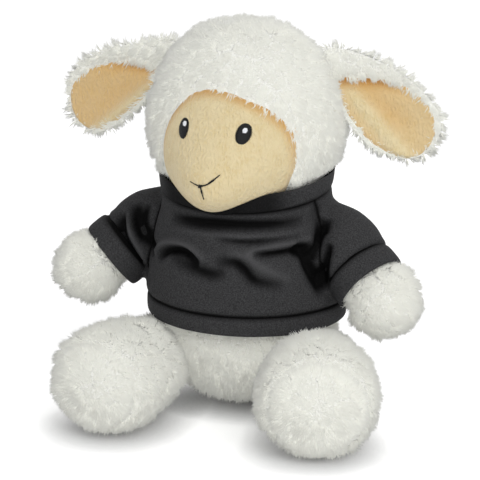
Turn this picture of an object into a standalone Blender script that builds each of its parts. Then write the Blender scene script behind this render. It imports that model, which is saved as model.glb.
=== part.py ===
"""A sitting plush lamb in a short-sleeved jersey shirt, as its separate sewn pieces.

Metres, +Z up. The lamb faces -Y and its own left is +X. The origin is the middle of
the flat patch that its seat rests on.
"""

import math

import bmesh
import bpy
from mathutils import Matrix, Vector
from mathutils.bvhtree import BVHTree

# Clearances and cloths
GAP = 0.0003
PLUSH_WALL = 0.0036
FACE_CLOTH = 0.0020
JERSEY = 0.0016
RIB = 0.0021
OVERRUN = 0.03

# Torso: an upright pear whose underside rises towards the front
TORSO_HEIGHT = 0.1005
TORSO_HALF_WIDTH = 0.0455
TORSO_HALF_DEPTH = 0.040
TORSO_OUTLINE_SHARES = (
    (-0.008, 0.0), (-0.005, 0.38), (0.03, 0.60), (0.12, 0.81), (0.27, 0.97),
    (0.43, 1.0), (0.60, 0.95), (0.76, 0.84), (0.88, 0.69), (0.96, 0.47), (1.0, 0.0),
)
SEAT_SET_BACK = 0.014
SEAT_SET_BACK_HEIGHT = 0.045
BEAN_POUCH_TOP = 0.020

# Head: a wide ball, higher above its middle than below, with a broad muzzle swelling
HEAD_CENTRE = Vector((0, 0.002, 0.1435))
HEAD_TURNED = math.radians(-4)
HEAD_HALF_WIDTH = 0.0495
HEAD_HALF_DEPTH = 0.0435
HEAD_RISE = 0.0515
HEAD_DROP = 0.0465
MUZZLE_PITCH = math.radians(-23)
MUZZLE_SWELL = 0.0190
MUZZLE_SPREAD = math.radians(31)
FACE_PITCH = math.radians(-17)
FACE_HALF_WIDTH = 0.0350
FACE_HALF_HEIGHT = 0.0350
FACE_INSET = 0.0008

# Neck: a firm ball of filling that both covers are gathered round
NECK_CENTRE = Vector((0, 0.001, 0.0970))
NECK_RADIUS = 0.023
NECK_SLIP = 0.0005

# Embroidery on the face, as sideways places and heights from the head's centre
EYE_SIDE = 0.0160
EYE_RISE = 0.0058
EYE_HALF_WIDTH = 0.0041
EYE_HALF_HEIGHT = 0.0053
EYE_THICKNESS = 0.0012
EYE_LEAN = math.radians(10)
GLINT_SIDE = 0.0006
GLINT_RISE = 0.0016
GLINT_RADIUS = 0.0012
THREAD_RADIUS = 0.0005
NOSE_WIDTH = 0.0106
NOSE_DROP = 0.0192
NOSE_HEIGHT = 0.0062
NOSE_STROKE_SHARES = ((-0.62, 0.42), (-0.34, 0.16), (0.0, 0.0), (0.38, 0.18), (0.72, 0.56), (1.0, 1.0))
MOUTH_LENGTH = 0.0065
MOUTH_STEPS = 4

# Ears: cupped leaves that hang out, down and slightly back from the head's sides
EAR_ROOT_RISES = {"left": math.radians(27), "right": math.radians(22)}
EAR_SWEEPS = {"left": math.radians(12), "right": math.radians(12)}
EAR_DROOPS = {"left": math.radians(43), "right": math.radians(35)}
EAR_ROOT_RADIUS = 0.0125
EAR_ROOT_CLEARANCE = -0.0002
EAR_LENGTH = 0.062
EAR_HALF_WIDTH = 0.0215
EAR_OUTLINE_SHARES = (
    (0.0, 0.0), (0.02, 0.25), (0.09, 0.48), (0.22, 0.63), (0.40, 0.84),
    (0.60, 1.0), (0.78, 0.95), (0.91, 0.72), (0.98, 0.38), (1.0, 0.0),
)
EAR_BACK_THICKNESS = 0.0075
EAR_LINING_THICKNESS = 0.0018
EAR_LINING_SHARE = 0.88
EAR_CUP = 0.0045

# Arms: short limbs from the shoulders, out, forwards and down, with round paws
SHOULDER = Vector((0.040, 0.003, 0.0885))
ARM_FORWARD = math.radians(27)
ARM_DROPS = {"left": math.radians(32), "right": math.radians(26)}
ARM_LENGTH = 0.0645
ARM_RADIUS = 0.0144
ARM_OUTLINE_SHARES = (
    (-0.226, 0.0), (-0.21, 0.40), (-0.13, 0.79), (0.0, 1.0), (0.18, 1.0), (0.38, 1.0),
    (0.55, 1.03), (0.64, 1.20), (0.74, 1.267), (0.84, 1.14), (0.93, 0.80), (0.985, 0.38), (1.0, 0.0),
)
ARM_SEAT_DEPTH = 0.030

# Legs: thick, short and level, pointing forwards and out, with blunt soles
HIP = Vector((0.040, -0.012, 0.028))
LEG_SPLAYS = {"left": math.radians(17), "right": math.radians(12)}
LEG_LENGTH = 0.076
LEG_RADIUS = 0.0292
LEG_OUTLINE_SHARES = (
    (-0.27, 0.0), (-0.25, 0.27), (-0.16, 0.50), (0.0, 0.645), (0.20, 0.80), (0.40, 0.93),
    (0.58, 1.0), (0.74, 0.99), (0.86, 0.87), (0.94, 0.63), (0.985, 0.32), (1.0, 0.0),
)
LEG_INNER_SIDE = 0.020
HIP_BITE_RADIUS = 0.0196
HIP_CONE_TIP_X = 0.0515
HIP_CONE_RADIUS = 0.0745
SOLE_SEAM_SHARE = 0.86

# Shirt: a jersey tube from hem to neck seam, wider than the torso at the shoulders
HEM_BOTTOM = 0.0478
HEM_TOP = 0.0575
SHIRT_TOP = 0.1030
SHIRT_HALF_WIDTH = 0.0490
SHIRT_HALF_DEPTH = 0.0440
SHIRT_OUTLINE_SHARES = (
    (0.0, 0.985, 0.985), (0.18, 1.0, 1.0), (0.42, 0.985, 0.985), (0.65, 0.95, 0.965), (0.85, 0.90, 0.935),
    (1.0, 0.835, 0.925),
)
NECK_SEAM_DROP = 0.0058
NECKBAND_HEIGHT = 0.0095
NECKBAND_FLARE = 0.0010
FOLD_HEIGHTS = (0.093, 0.085, 0.072)
FOLD_SWELL = 0.0016
FOLD_HALF_WIDTH = 0.0030
FOLD_SAG = 0.010

# Sleeves: coaxial with the shoulder's turning axis at the root, then along the arm
SLEEVE_ROOT_X = 0.0442
SLEEVE_ROOT_RADIUS = 0.0173
SLEEVE_RADIUS = 0.0172
SLEEVE_CLEAR_X = 0.0525
CUFF_START = 0.0245
CUFF_END = 0.0358
CUFF_RADIUS = 0.0178

# Faces round and along the forms
TORSO_GRID = (22, 14)
HEAD_GRID = (24, 16)
LIMB_GRID = (16, 13)
EAR_GRID = (18, 10)
HEAD_INSIDE_GRID = (20, 14)
INSIDE_GRID = (16, 10)
NECK_GRID = (24, 12)
SMALL_GRID = (12, 6)
SHIRT_GRID = (14, 12)
BAND_GRID = (30, 2)
SLEEVE_GRID = (20, 6)
CUTTER_COLUMNS = 36

TOY = "plush_lamb"
CUTTERS = "cutters"
SIDES = (("left", 1), ("right", -1))


def clear_scene():
    for thing in list(bpy.data.objects):
        bpy.data.objects.remove(thing)
    for name in (TOY, CUTTERS):
        bpy.context.scene.collection.children.link(bpy.data.collections.new(name))


def cloth(name, colour, roughness):
    """A matt cloth of one colour."""
    made = bpy.data.materials.new(name)
    made.use_nodes = True
    shader = made.node_tree.nodes["Principled BSDF"]
    shader.inputs["Base Color"].default_value = (*colour, 1)
    shader.inputs["Roughness"].default_value = roughness
    shader.inputs["Metallic"].default_value = 0
    return made


def add_object(name, shape, finish=None):
    """An object from a bmesh. Without a finish it is a cutter, which never renders."""
    mesh = bpy.data.meshes.new(name)
    shape.to_mesh(mesh)
    shape.free()
    made = bpy.data.objects.new(name, mesh)
    if finish is None:
        bpy.data.collections[CUTTERS].objects.link(made)
        made.hide_render = True
        made.display_type = "WIRE"
    else:
        bpy.data.collections[TOY].objects.link(made)
        mesh.materials.append(finish)
        mesh.shade_smooth()
    return made


def smooth_value(table, share):
    """The point at a share of the way through a table, on a Catmull-Rom curve."""
    spans = len(table) - 1
    at = min(max(share, 0), 1) * spans
    i = min(int(at), spans - 1)
    t = at - i
    points = [table[min(max(k, 0), spans)] for k in (i - 1, i, i + 1, i + 2)]
    return [
        0.5 * (2 * b + (c - a) * t + (2 * a - 5 * b + 4 * c - d) * t**2 + (3 * b - a - 3 * c + d) * t**3)
        for a, b, c, d in zip(*points)
    ]


def ball_form(name, grid, place, grow=0.0, finish=None):
    """A UV sphere whose points are placed by their share from pole to pole and their angle."""
    shape = bmesh.new()
    bmesh.ops.create_uvsphere(shape, u_segments=grid[0], v_segments=grid[1], radius=1.0)
    for point in shape.verts:
        share = math.acos(max(-1, min(1, -point.co.z))) / math.pi
        point.co = place(share, math.atan2(point.co.y, point.co.x))
    if shape.calc_volume(signed=True) < 0:
        bmesh.ops.reverse_faces(shape, faces=shape.faces)
    shape.normal_update()
    moved = [point.co + point.normal * grow for point in shape.verts]
    for point, target in zip(shape.verts, moved):
        point.co = target
    return add_object(name, shape, finish)


def sheet_form(name, grid, place, thickness, finish, closed=False):
    """A grid placed by its two shares, thickened outwards by Solidify."""
    shape = bmesh.new()
    bmesh.ops.create_grid(shape, x_segments=grid[0], y_segments=grid[1], size=0.5)
    for point in shape.verts:
        point.co = place(point.co.x + 0.5, point.co.y + 0.5)
    if closed:
        bmesh.ops.remove_doubles(shape, verts=shape.verts, dist=GAP / 10)
    made = add_object(name, shape, finish)
    wall = made.modifiers.new("wall", "SOLIDIFY")
    wall.thickness = thickness
    wall.offset = 1
    wall.use_even_offset = True
    return made


def rod(name, start, end, radius, end_radius=None, flatness=1.0):
    """A capped cutter rod between two points, which can taper or be oval."""
    shape = bmesh.new()
    end_radius = radius if end_radius is None else end_radius
    depth = (end - start).length
    bmesh.ops.create_cone(
        shape, cap_ends=True, segments=CUTTER_COLUMNS, radius1=radius, radius2=end_radius, depth=depth
    )
    turn = (end - start).to_track_quat("Z", "Y").to_matrix().to_4x4()
    shape.transform(Matrix.Translation((start + end) / 2) @ turn @ Matrix.Diagonal((flatness, 1, 1, 1)))
    return add_object(name, shape)


def block(name, low, high):
    """A cutter box between two corners."""
    low, high = Vector(low), Vector(high)
    shape = bmesh.new()
    bmesh.ops.create_cube(shape, size=1)
    shape.transform(Matrix.Translation((low + high) / 2) @ Matrix.Diagonal((*(high - low), 1)))
    return add_object(name, shape)


def boolean(target, cutter, operation="DIFFERENCE"):
    step = target.modifiers.new(operation.lower(), "BOOLEAN")
    step.operation = operation
    step.object = cutter


def ring_point(centre_y, half_width, half_depth, angle, height):
    return Vector((half_width * math.cos(angle), centre_y + half_depth * math.sin(angle), height))


def torso_point(share, angle):
    """The torso's surface: height and girth from its outline, set back towards the seat."""
    height_share, girth = smooth_value(TORSO_OUTLINE_SHARES, share)
    height = height_share * TORSO_HEIGHT
    back = SEAT_SET_BACK * max(0.0, 1 - max(height, 0) / SEAT_SET_BACK_HEIGHT) ** 2
    girth = max(girth, 0)
    return ring_point(back, TORSO_HALF_WIDTH * girth, TORSO_HALF_DEPTH * girth, angle, height)


def head_direction(pitch):
    return Vector((0, -math.cos(pitch), math.sin(pitch)))


def head_surface(unit):
    """The head's surface in a direction: an ellipsoid that swells smoothly round the muzzle."""
    height = HEAD_RISE if unit.z > 0 else HEAD_DROP
    muzzle = head_direction(MUZZLE_PITCH)
    away = math.acos(max(-1, min(1, unit.dot(muzzle))))
    swell = MUZZLE_SWELL * math.exp(-((away / MUZZLE_SPREAD) ** 2))
    base = Vector((unit.x * HEAD_HALF_WIDTH, unit.y * HEAD_HALF_DEPTH, unit.z * height))
    return HEAD_CENTRE + base + muzzle * swell


def head_point(share, angle):
    rise = -math.cos(share * math.pi)
    reach = math.sin(share * math.pi)
    return head_surface(Vector((reach * math.cos(angle), reach * math.sin(angle), rise)))


def side_axes(direction):
    """Two directions square to a limb's own, the first of them level."""
    level = direction.cross(Vector((0, 0, 1))).normalized()
    return level, level.cross(direction)


def limb_place(start, direction, length, radius, outline):
    across, up = side_axes(direction)

    def place(share, angle):
        along, girth = smooth_value(outline, share)
        girth = max(girth, 0) * radius
        round_point = across * (girth * math.cos(angle)) + up * (girth * math.sin(angle))
        return start + direction * (along * length) + round_point

    return place


def mirrored(vector, side):
    return Vector((vector.x * side, vector.y, vector.z))


def make_cloths():
    return {
        "plush": cloth("white_plush", (0.80, 0.79, 0.73), 0.95),
        "velour": cloth("tan_velour", (0.74, 0.56, 0.30), 0.90),
        "jersey": cloth("black_jersey", (0.022, 0.022, 0.023), 0.85),
        "black_thread": cloth("black_thread", (0.012, 0.012, 0.013), 0.45),
        "white_thread": cloth("white_thread", (0.85, 0.85, 0.85), 0.45),
        "filling": cloth("fibre_filling", (0.85, 0.85, 0.83), 1.0),
        "pellets": cloth("bean_pouch_cloth", (0.62, 0.60, 0.55), 0.9),
    }


def shoulder_cutters(name, side):
    """The arm's round seat, the shirt's armhole, and what keeps arm and sleeve clear of the shirt."""

    def along_axis(x):
        return mirrored(Vector((x, SHOULDER.y, SHOULDER.z)), side)

    middle, outside = along_axis(0), along_axis(SHOULDER.x + OVERRUN)
    seat = along_axis(ARM_SEAT_DEPTH)
    end = along_axis(ARM_SEAT_DEPTH + GAP)
    cutters = {
        "arm_seat": rod("arm_seat_" + name, seat, outside, ARM_RADIUS + GAP),
        "arm_end": rod("arm_end_" + name, middle, end, SHOULDER.z),
        "armhole": rod("armhole_" + name, middle, outside, SLEEVE_ROOT_RADIUS + GAP + GAP),
    }
    for piece, hole in (("arm", ARM_RADIUS), ("sleeve", SLEEVE_ROOT_RADIUS + GAP)):
        label = piece + "_" + name
        ring = rod("keep_clear_of_shirt_" + label, middle, along_axis(SLEEVE_CLEAR_X), SHOULDER.z)
        boolean(ring, rod("root_way_" + label, along_axis(-GAP), outside, hole))
        cutters[piece + "_clear"] = ring
    return cutters


def hip_cutters(name, side):
    """The bite in the body for the leg's round root, and the cone that keeps the leg clear as it swings."""

    def along_axis(x):
        return mirrored(Vector((x, HIP.y, HIP.z)), side)

    outside = along_axis(HIP.x + OVERRUN)
    tip = along_axis(HIP_CONE_TIP_X)
    socket = rod("leg_socket_" + name, along_axis(0), tip, HIP_CONE_RADIUS, HIP_BITE_RADIUS)
    root = along_axis(LEG_INNER_SIDE)
    boolean(socket, rod("leg_root_way_" + name, root, outside, HIP_BITE_RADIUS - GAP))
    bite = rod("hip_bite_" + name, along_axis(LEG_INNER_SIDE - GAP), outside, HIP_BITE_RADIUS)
    return {"hip": bite, "leg_socket": socket}


def make_cutters():
    """The shared cutters: the floor, the neck ball and both sides' shoulder and hip seats."""
    far = OVERRUN + LEG_LENGTH + LEG_LENGTH
    cutters = {
        "floor": block("floor_cutter", (-far, -far, -OVERRUN), (far, far, 0)),
        "neck": ball_form("neck_cutter", NECK_GRID, neck_place, NECK_SLIP),
    }
    for name, side in SIDES:
        for made in (shoulder_cutters(name, side), hip_cutters(name, side)):
            for piece, cutter in made.items():
                cutters[piece + "_" + name] = cutter
    return cutters


def neck_place(share, angle):
    reach = NECK_RADIUS * math.sin(share * math.pi)
    rise = -NECK_RADIUS * math.cos(share * math.pi)
    return NECK_CENTRE + Vector((reach * math.cos(angle), reach * math.sin(angle), rise))


def make_torso(cloths, cutters):
    """The plush bag of the body, its filling and the pouch of pellets that weighs the seat."""
    cover = ball_form("torso_cover", TORSO_GRID, torso_point, 0, cloths["plush"])
    boolean(cover, ball_form("torso_hollow", INSIDE_GRID, torso_point, -PLUSH_WALL))
    filling = ball_form("torso_stuffing", INSIDE_GRID, torso_point, -PLUSH_WALL - GAP, cloths["filling"])
    pouch = ball_form("bean_pouch", INSIDE_GRID, torso_point, -PLUSH_WALL - GAP, cloths["pellets"])
    reach = TORSO_HALF_WIDTH + OVERRUN
    low, high = (-reach, -reach, -OVERRUN), (reach, reach, BEAN_POUCH_TOP)
    boolean(filling, block("pouch_room", low, high))
    boolean(
        pouch,
        block("above_pouch", (-reach, -reach, BEAN_POUCH_TOP - GAP), (reach, reach, TORSO_HEIGHT + OVERRUN)),
    )
    boolean(cover, cutters["floor"])
    for piece in (cover, filling):
        boolean(piece, cutters["neck"])
    for name, _ in SIDES:
        for piece in (cover, filling):
            boolean(piece, cutters["arm_seat_" + name])
        for piece in (cover, filling, pouch):
            boolean(piece, cutters["hip_" + name])


def make_neck(cloths):
    ball_form("neck_stuffing", NECK_GRID, neck_place, 0, cloths["filling"])


def make_head(cloths, cutters):
    """The plush hood, the velour face set into it, and the filling."""
    forward = head_direction(FACE_PITCH)
    front = HEAD_CENTRE + forward * (HEAD_HALF_DEPTH + OVERRUN)
    flatness = FACE_HALF_WIDTH / FACE_HALF_HEIGHT
    opening = rod("face_opening", HEAD_CENTRE, front, FACE_HALF_HEIGHT + GAP, flatness=flatness)
    window = rod("face_window", HEAD_CENTRE, front, FACE_HALF_HEIGHT, flatness=flatness)
    hood = ball_form("head_cover", HEAD_GRID, head_point, 0, cloths["plush"])
    boolean(hood, ball_form("head_hollow", HEAD_INSIDE_GRID, head_point, -PLUSH_WALL))
    boolean(hood, opening)
    face = ball_form("face_panel", HEAD_GRID, head_point, -FACE_INSET, cloths["velour"])
    boolean(face, ball_form("face_hollow", HEAD_INSIDE_GRID, head_point, -FACE_INSET - FACE_CLOTH))
    boolean(face, window, "INTERSECT")
    filling = ball_form("head_stuffing", HEAD_INSIDE_GRID, head_point, -PLUSH_WALL - GAP, cloths["filling"])
    for piece in (hood, face, filling):
        boolean(piece, cutters["neck"])


def face_tree():
    """The face's surface, to sit the embroidery on."""
    shape = bmesh.new()
    skin = ball_form("face_skin", HEAD_GRID, head_point, -FACE_INSET)
    shape.from_mesh(skin.data)
    tree = BVHTree.FromBMesh(shape)
    shape.free()
    bpy.data.objects.remove(skin)
    return tree


def on_face(tree, side, rise):
    """The face's point and outward normal, straight behind a place seen from the front."""
    front = Vector((side, -OVERRUN - LEG_LENGTH, HEAD_CENTRE.z + rise))
    hit, normal, _, _ = tree.ray_cast(front, Vector((0, 1, 0)))
    return hit, normal


def oval_form(name, centre, normal, lean, half_sizes, grow, finish=None):
    """A flat oval bead that faces along a normal, leaning about it."""
    turn = normal.to_track_quat("Z", "Y").to_matrix().to_4x4()
    frame = Matrix.Translation(centre) @ turn @ Matrix.Rotation(lean, 4, "Z")

    def place(share, angle):
        reach, rise = math.sin(share * math.pi), -math.cos(share * math.pi)
        unit = (reach * math.cos(angle), reach * math.sin(angle), rise)
        return frame @ Vector(a * b for a, b in zip(unit, half_sizes))

    return ball_form(name, SMALL_GRID, place, grow, finish)


def thread(name, points, finish):
    """A line of stitches as a fine tube."""
    curve = bpy.data.curves.new(name, "CURVE")
    curve.dimensions = "3D"
    curve.bevel_depth = THREAD_RADIUS
    curve.bevel_resolution = 1
    curve.use_fill_caps = True
    line = curve.splines.new("POLY")
    line.points.add(len(points) - 1)
    for point, place in zip(line.points, points):
        point.co = (*place, 1)
    curve.materials.append(finish)
    bpy.data.collections[TOY].objects.link(bpy.data.objects.new(name, curve))


def make_embroidery(cloths):
    tree = face_tree()
    lift = THREAD_RADIUS + GAP
    skin = ball_form("face_skin_cutter", HEAD_GRID, head_point, GAP - FACE_INSET)
    eye_sizes = Vector((EYE_HALF_WIDTH, EYE_HALF_HEIGHT, EYE_THICKNESS))
    glint_sizes = Vector((GLINT_RADIUS, GLINT_RADIUS, EYE_THICKNESS))
    for name, side in SIDES:
        centre, normal = on_face(tree, side * EYE_SIDE, EYE_RISE)
        eye = oval_form("eye_" + name, centre, normal, side * EYE_LEAN, eye_sizes, 0, cloths["black_thread"])
        boolean(eye, skin)
        room = oval_form("eye_room_" + name, centre, normal, side * EYE_LEAN, eye_sizes, GAP)
        centre, normal = on_face(tree, side * EYE_SIDE + GLINT_SIDE, EYE_RISE + GLINT_RISE)
        raised = centre + normal * (EYE_THICKNESS / 2)
        glint = oval_form("eye_glint_" + name, raised, normal, 0, glint_sizes, 0, cloths["white_thread"])
        boolean(glint, room)
    nose = []
    for side, rise in NOSE_STROKE_SHARES:
        hit, normal = on_face(tree, side * NOSE_WIDTH, rise * NOSE_HEIGHT - NOSE_DROP)
        nose.append(hit + normal * lift)
    thread("nose_stitch", nose, cloths["black_thread"])
    mouth = []
    start = NOSE_DROP + lift + THREAD_RADIUS
    for step in range(MOUTH_STEPS + 1):
        hit, normal = on_face(tree, 0, -start - MOUTH_LENGTH * step / MOUTH_STEPS)
        mouth.append(hit + normal * lift)
    thread("mouth_stitch", mouth, cloths["black_thread"])


def ear_frame(name, side):
    """Along the ear, across it and out of its lined front, with the centre its root turns about."""
    sweep, droop, rise = EAR_SWEEPS[name], EAR_DROOPS[name], EAR_ROOT_RISES[name]
    level = Vector((side * math.cos(sweep), math.sin(sweep), 0))
    along = level * math.cos(droop) - Vector((0, 0, math.sin(droop)))
    front = Vector((side * math.sin(sweep), -math.cos(sweep), 0))
    across = front.cross(along)
    away = level * math.cos(rise) + Vector((0, 0, math.sin(rise)))
    steep = Vector((away.x / HEAD_HALF_WIDTH, away.y / HEAD_HALF_DEPTH, away.z / HEAD_RISE))
    outwards = (steep - front * steep.dot(front)).normalized()
    centre = head_surface(away) + outwards * (EAR_ROOT_RADIUS + EAR_ROOT_CLEARANCE)
    return along, across, front, centre


def ear_place(frame, width_share, front_depth, back_depth):
    """A cupped leaf. Its depth runs from front_depth to back_depth about the cupped middle sheet."""
    along, across, front, centre = frame
    inset = EAR_HALF_WIDTH * (1 - width_share)
    length = EAR_LENGTH - inset - inset
    start = centre - along * EAR_ROOT_RADIUS

    def place(share, angle):
        along_share, width = smooth_value(EAR_OUTLINE_SHARES, share)
        width = max(width, 0) * (EAR_HALF_WIDTH - inset)
        distance = inset + along_share * length
        sideways = width * math.cos(angle)
        depth = math.sin(angle) * math.sqrt(width / EAR_HALF_WIDTH)
        depth *= front_depth if depth > 0 else back_depth
        cup = EAR_CUP * ((sideways / EAR_HALF_WIDTH) ** 2 + (distance / EAR_LENGTH) ** 2)
        return start + along * distance + across * sideways + front * (depth + cup)

    return place


def make_ear(name, frame, cloths):
    back_place = ear_place(frame, 1, GAP, EAR_BACK_THICKNESS)
    ball_form("ear_back_" + name, EAR_GRID, back_place, 0, cloths["plush"])
    lining_place = ear_place(frame, EAR_LINING_SHARE, EAR_LINING_THICKNESS + GAP, EAR_BACK_THICKNESS / 2)
    lining = ball_form("ear_lining_" + name, EAR_GRID, lining_place, 0, cloths["velour"])
    boolean(lining, ball_form("ear_back_room_" + name, EAR_GRID, back_place, GAP))


def make_ears(cloths):
    for name, side in SIDES:
        frame = ear_frame(name, side)
        carry("ear_flap_axis_" + name, frame[-1], make_ear, name, frame, cloths)


def arm_direction(name, side):
    level = Vector((side * math.cos(ARM_FORWARD), -math.sin(ARM_FORWARD), 0))
    return level * math.cos(ARM_DROPS[name]) - Vector((0, 0, math.sin(ARM_DROPS[name])))


def make_arm(name, side, cloths, cutters):
    """A plush sock, open where it meets the body, and its filling."""
    shoulder, arm = mirrored(SHOULDER, side), arm_direction(name, side)
    place = limb_place(shoulder, arm, ARM_LENGTH, ARM_RADIUS, ARM_OUTLINE_SHARES)
    cover = ball_form("arm_cover_" + name, LIMB_GRID, place, 0, cloths["plush"])
    boolean(cover, ball_form("arm_hollow_" + name, SMALL_GRID, place, -PLUSH_WALL))
    filling = ball_form("arm_stuffing_" + name, SMALL_GRID, place, -PLUSH_WALL - GAP, cloths["filling"])
    for piece in (cover, filling):
        boolean(piece, cutters["arm_clear_" + name])
        boolean(piece, cutters["arm_end_" + name])


def make_leg(name, side, cloths, cutters):
    """A plush tube from hip to sole seam, its round sole and its filling."""
    hip, splay = mirrored(HIP, side), LEG_SPLAYS[name]
    direction = Vector((side * math.sin(splay), -math.cos(splay), 0))
    place = limb_place(hip, direction, LEG_LENGTH, LEG_RADIUS, LEG_OUTLINE_SHARES)
    seam = hip + direction * (LEG_LENGTH * SOLE_SEAM_SHARE)
    far = hip + direction * (LEG_LENGTH + OVERRUN)
    wide = LEG_RADIUS + OVERRUN
    cover = ball_form("leg_cover_" + name, LIMB_GRID, place, 0, cloths["plush"])
    sole = ball_form("sole_panel_" + name, LIMB_GRID, place, 0, cloths["plush"])
    hollow = ball_form("leg_hollow_" + name, SMALL_GRID, place, -PLUSH_WALL)
    filling = ball_form("leg_stuffing_" + name, SMALL_GRID, place, -PLUSH_WALL - GAP, cloths["filling"])
    for piece in (cover, sole):
        boolean(piece, hollow)
        boolean(piece, cutters["floor"])
    boolean(cover, rod("past_sole_seam_" + name, seam, far, wide))
    boolean(sole, rod("behind_sole_seam_" + name, hip - direction * wide, seam + direction * GAP, wide))
    for piece in (cover, filling):
        boolean(piece, cutters["leg_socket_" + name])


def shirt_point(angle, height, grow=0.0):
    """The shirt's inner surface, which swells outwards along its few long folds."""
    share = (height - HEM_TOP) / (SHIRT_TOP - HEM_TOP)
    _, across, deep = smooth_value(SHIRT_OUTLINE_SHARES, share)
    front = max(0.0, -math.sin(angle))
    for fold in FOLD_HEIGHTS:
        line = fold - FOLD_SAG * (front**2 - 0.5)
        grow += FOLD_SWELL * front * math.exp(-(((height - line) / FOLD_HALF_WIDTH) ** 2))
    return ring_point(0, SHIRT_HALF_WIDTH * across + grow, SHIRT_HALF_DEPTH * deep + grow, angle, height)


def neck_seam_height(angle):
    """The neck seam dips at the throat."""
    return SHIRT_TOP - NECK_SEAM_DROP * max(0.0, -math.sin(angle)) ** 2


def make_shirt(cloths, cutters):
    slit = GAP / SHIRT_HALF_DEPTH
    for name, start in (("front", -math.pi), ("back", 0)):

        def panel(across, up, start=start):
            angle = start + slit + (math.pi - slit - slit) * across
            top = neck_seam_height(angle) - JERSEY / 2
            return shirt_point(angle, HEM_TOP + GAP + (top - HEM_TOP - GAP) * up)

        made = sheet_form("shirt_" + name, SHIRT_GRID, panel, JERSEY, cloths["jersey"])
        for side, _ in SIDES:
            boolean(made, cutters["armhole_" + side])

    def hem(across, up):
        angle = 2 * math.pi * across
        edge = shirt_point(angle, HEM_TOP)
        return Vector((edge.x, edge.y, HEM_BOTTOM + (HEM_TOP - HEM_BOTTOM) * up))

    sheet_form("shirt_hem_band", BAND_GRID, hem, RIB, cloths["jersey"], closed=True)

    def neckband(across, up):
        angle = 2 * math.pi * across
        seam = neck_seam_height(angle)
        edge = shirt_point(angle, seam, NECKBAND_FLARE * up)
        return Vector((edge.x, edge.y, seam + GAP + NECKBAND_HEIGHT * up))

    sheet_form("shirt_neckband", BAND_GRID, neckband, RIB, cloths["jersey"], closed=True)


def make_sleeve(name, side, cloths, cutters):
    """A sleeve turns with its arm, so its root is round about the shoulder's axis."""
    shoulder, arm = mirrored(SHOULDER, side), arm_direction(name, side)
    outwards = Vector((side, 0, 0))
    root = shoulder + outwards * (SLEEVE_ROOT_X - SHOULDER.x)
    root_radius = SLEEVE_ROOT_RADIUS - JERSEY

    def sleeve(across, up):
        angle = -2 * math.pi * across
        turn = up * up * (3 - 2 * up)
        facing = outwards.lerp(arm, turn).normalized()
        start = root + outwards * ((SLEEVE_CLEAR_X - SLEEVE_ROOT_X) * up)
        centre = start.lerp(shoulder + arm * (CUFF_START * up), turn)
        radius = root_radius + (SLEEVE_RADIUS - JERSEY - root_radius) * up
        level, upright = side_axes(facing)
        return centre + (level * math.cos(angle) + upright * math.sin(angle)) * radius

    def cuff(across, up):
        angle = -2 * math.pi * across
        along = CUFF_START + GAP + (CUFF_END - CUFF_START - GAP) * up
        level, upright = side_axes(arm)
        ring = (level * math.cos(angle) + upright * math.sin(angle)) * (CUFF_RADIUS - RIB)
        return shoulder + arm * along + ring

    made = sheet_form("shirt_sleeve_" + name, SLEEVE_GRID, sleeve, JERSEY, cloths["jersey"], closed=True)
    band = sheet_form("sleeve_cuff_" + name, (SLEEVE_GRID[0], 1), cuff, RIB, cloths["jersey"], closed=True)
    for piece in (made, band):
        boolean(piece, cutters["sleeve_clear_" + name])


def carry(name, place, make, *values, turned=0.0):
    """Runs a making function, and hangs what it made on an empty that marks a joint's axis."""
    before = set(bpy.data.objects)
    make(*values)
    axis = bpy.data.objects.new(name, None)
    bpy.data.collections[TOY].objects.link(axis)
    for made in bpy.data.objects:
        if made in before or made == axis or made.parent is not None:
            continue
        if made.data is None:
            made.location -= place
        else:
            made.data.transform(Matrix.Translation(-place))
        made.parent = axis
    axis.location = place
    axis.rotation_euler.z = turned


def make_dressed_arm(name, side, cloths, cutters):
    make_arm(name, side, cloths, cutters)
    make_sleeve(name, side, cloths, cutters)


def make_all_of_head(cloths, cutters):
    make_head(cloths, cutters)
    make_embroidery(cloths)
    make_ears(cloths)


def make_neck_and_head(cloths, cutters):
    make_neck(cloths)
    carry("head_nod_axis", NECK_CENTRE, make_all_of_head, cloths, cutters)


def main():
    clear_scene()
    cloths = make_cloths()
    cutters = make_cutters()
    make_torso(cloths, cutters)
    make_shirt(cloths, cutters)
    carry("head_turn_axis", NECK_CENTRE, make_neck_and_head, cloths, cutters, turned=HEAD_TURNED)
    for name, side in SIDES:
        shoulder, hip = mirrored(SHOULDER, side), mirrored(HIP, side)
        carry("arm_swing_axis_" + name, shoulder, make_dressed_arm, name, side, cloths, cutters)
        carry("leg_swing_axis_" + name, hip, make_leg, name, side, cloths, cutters)


main()
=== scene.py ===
# %% [markdown]
# # A plush lamb in a jersey shirt
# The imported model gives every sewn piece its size, its place and the body it moves with.
# This script dresses those plain solids: curly pile, a velour face, embroidery and a
# knitted shirt. Everything is in metres. The lamb faces -Y, and its own left is +X.

# %% Load the frame
import math
from contextlib import contextmanager

import bmesh
import bpy
import numpy as np
from mathutils import Matrix, Vector, noise
from mathutils.bvhtree import BVHTree


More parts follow.
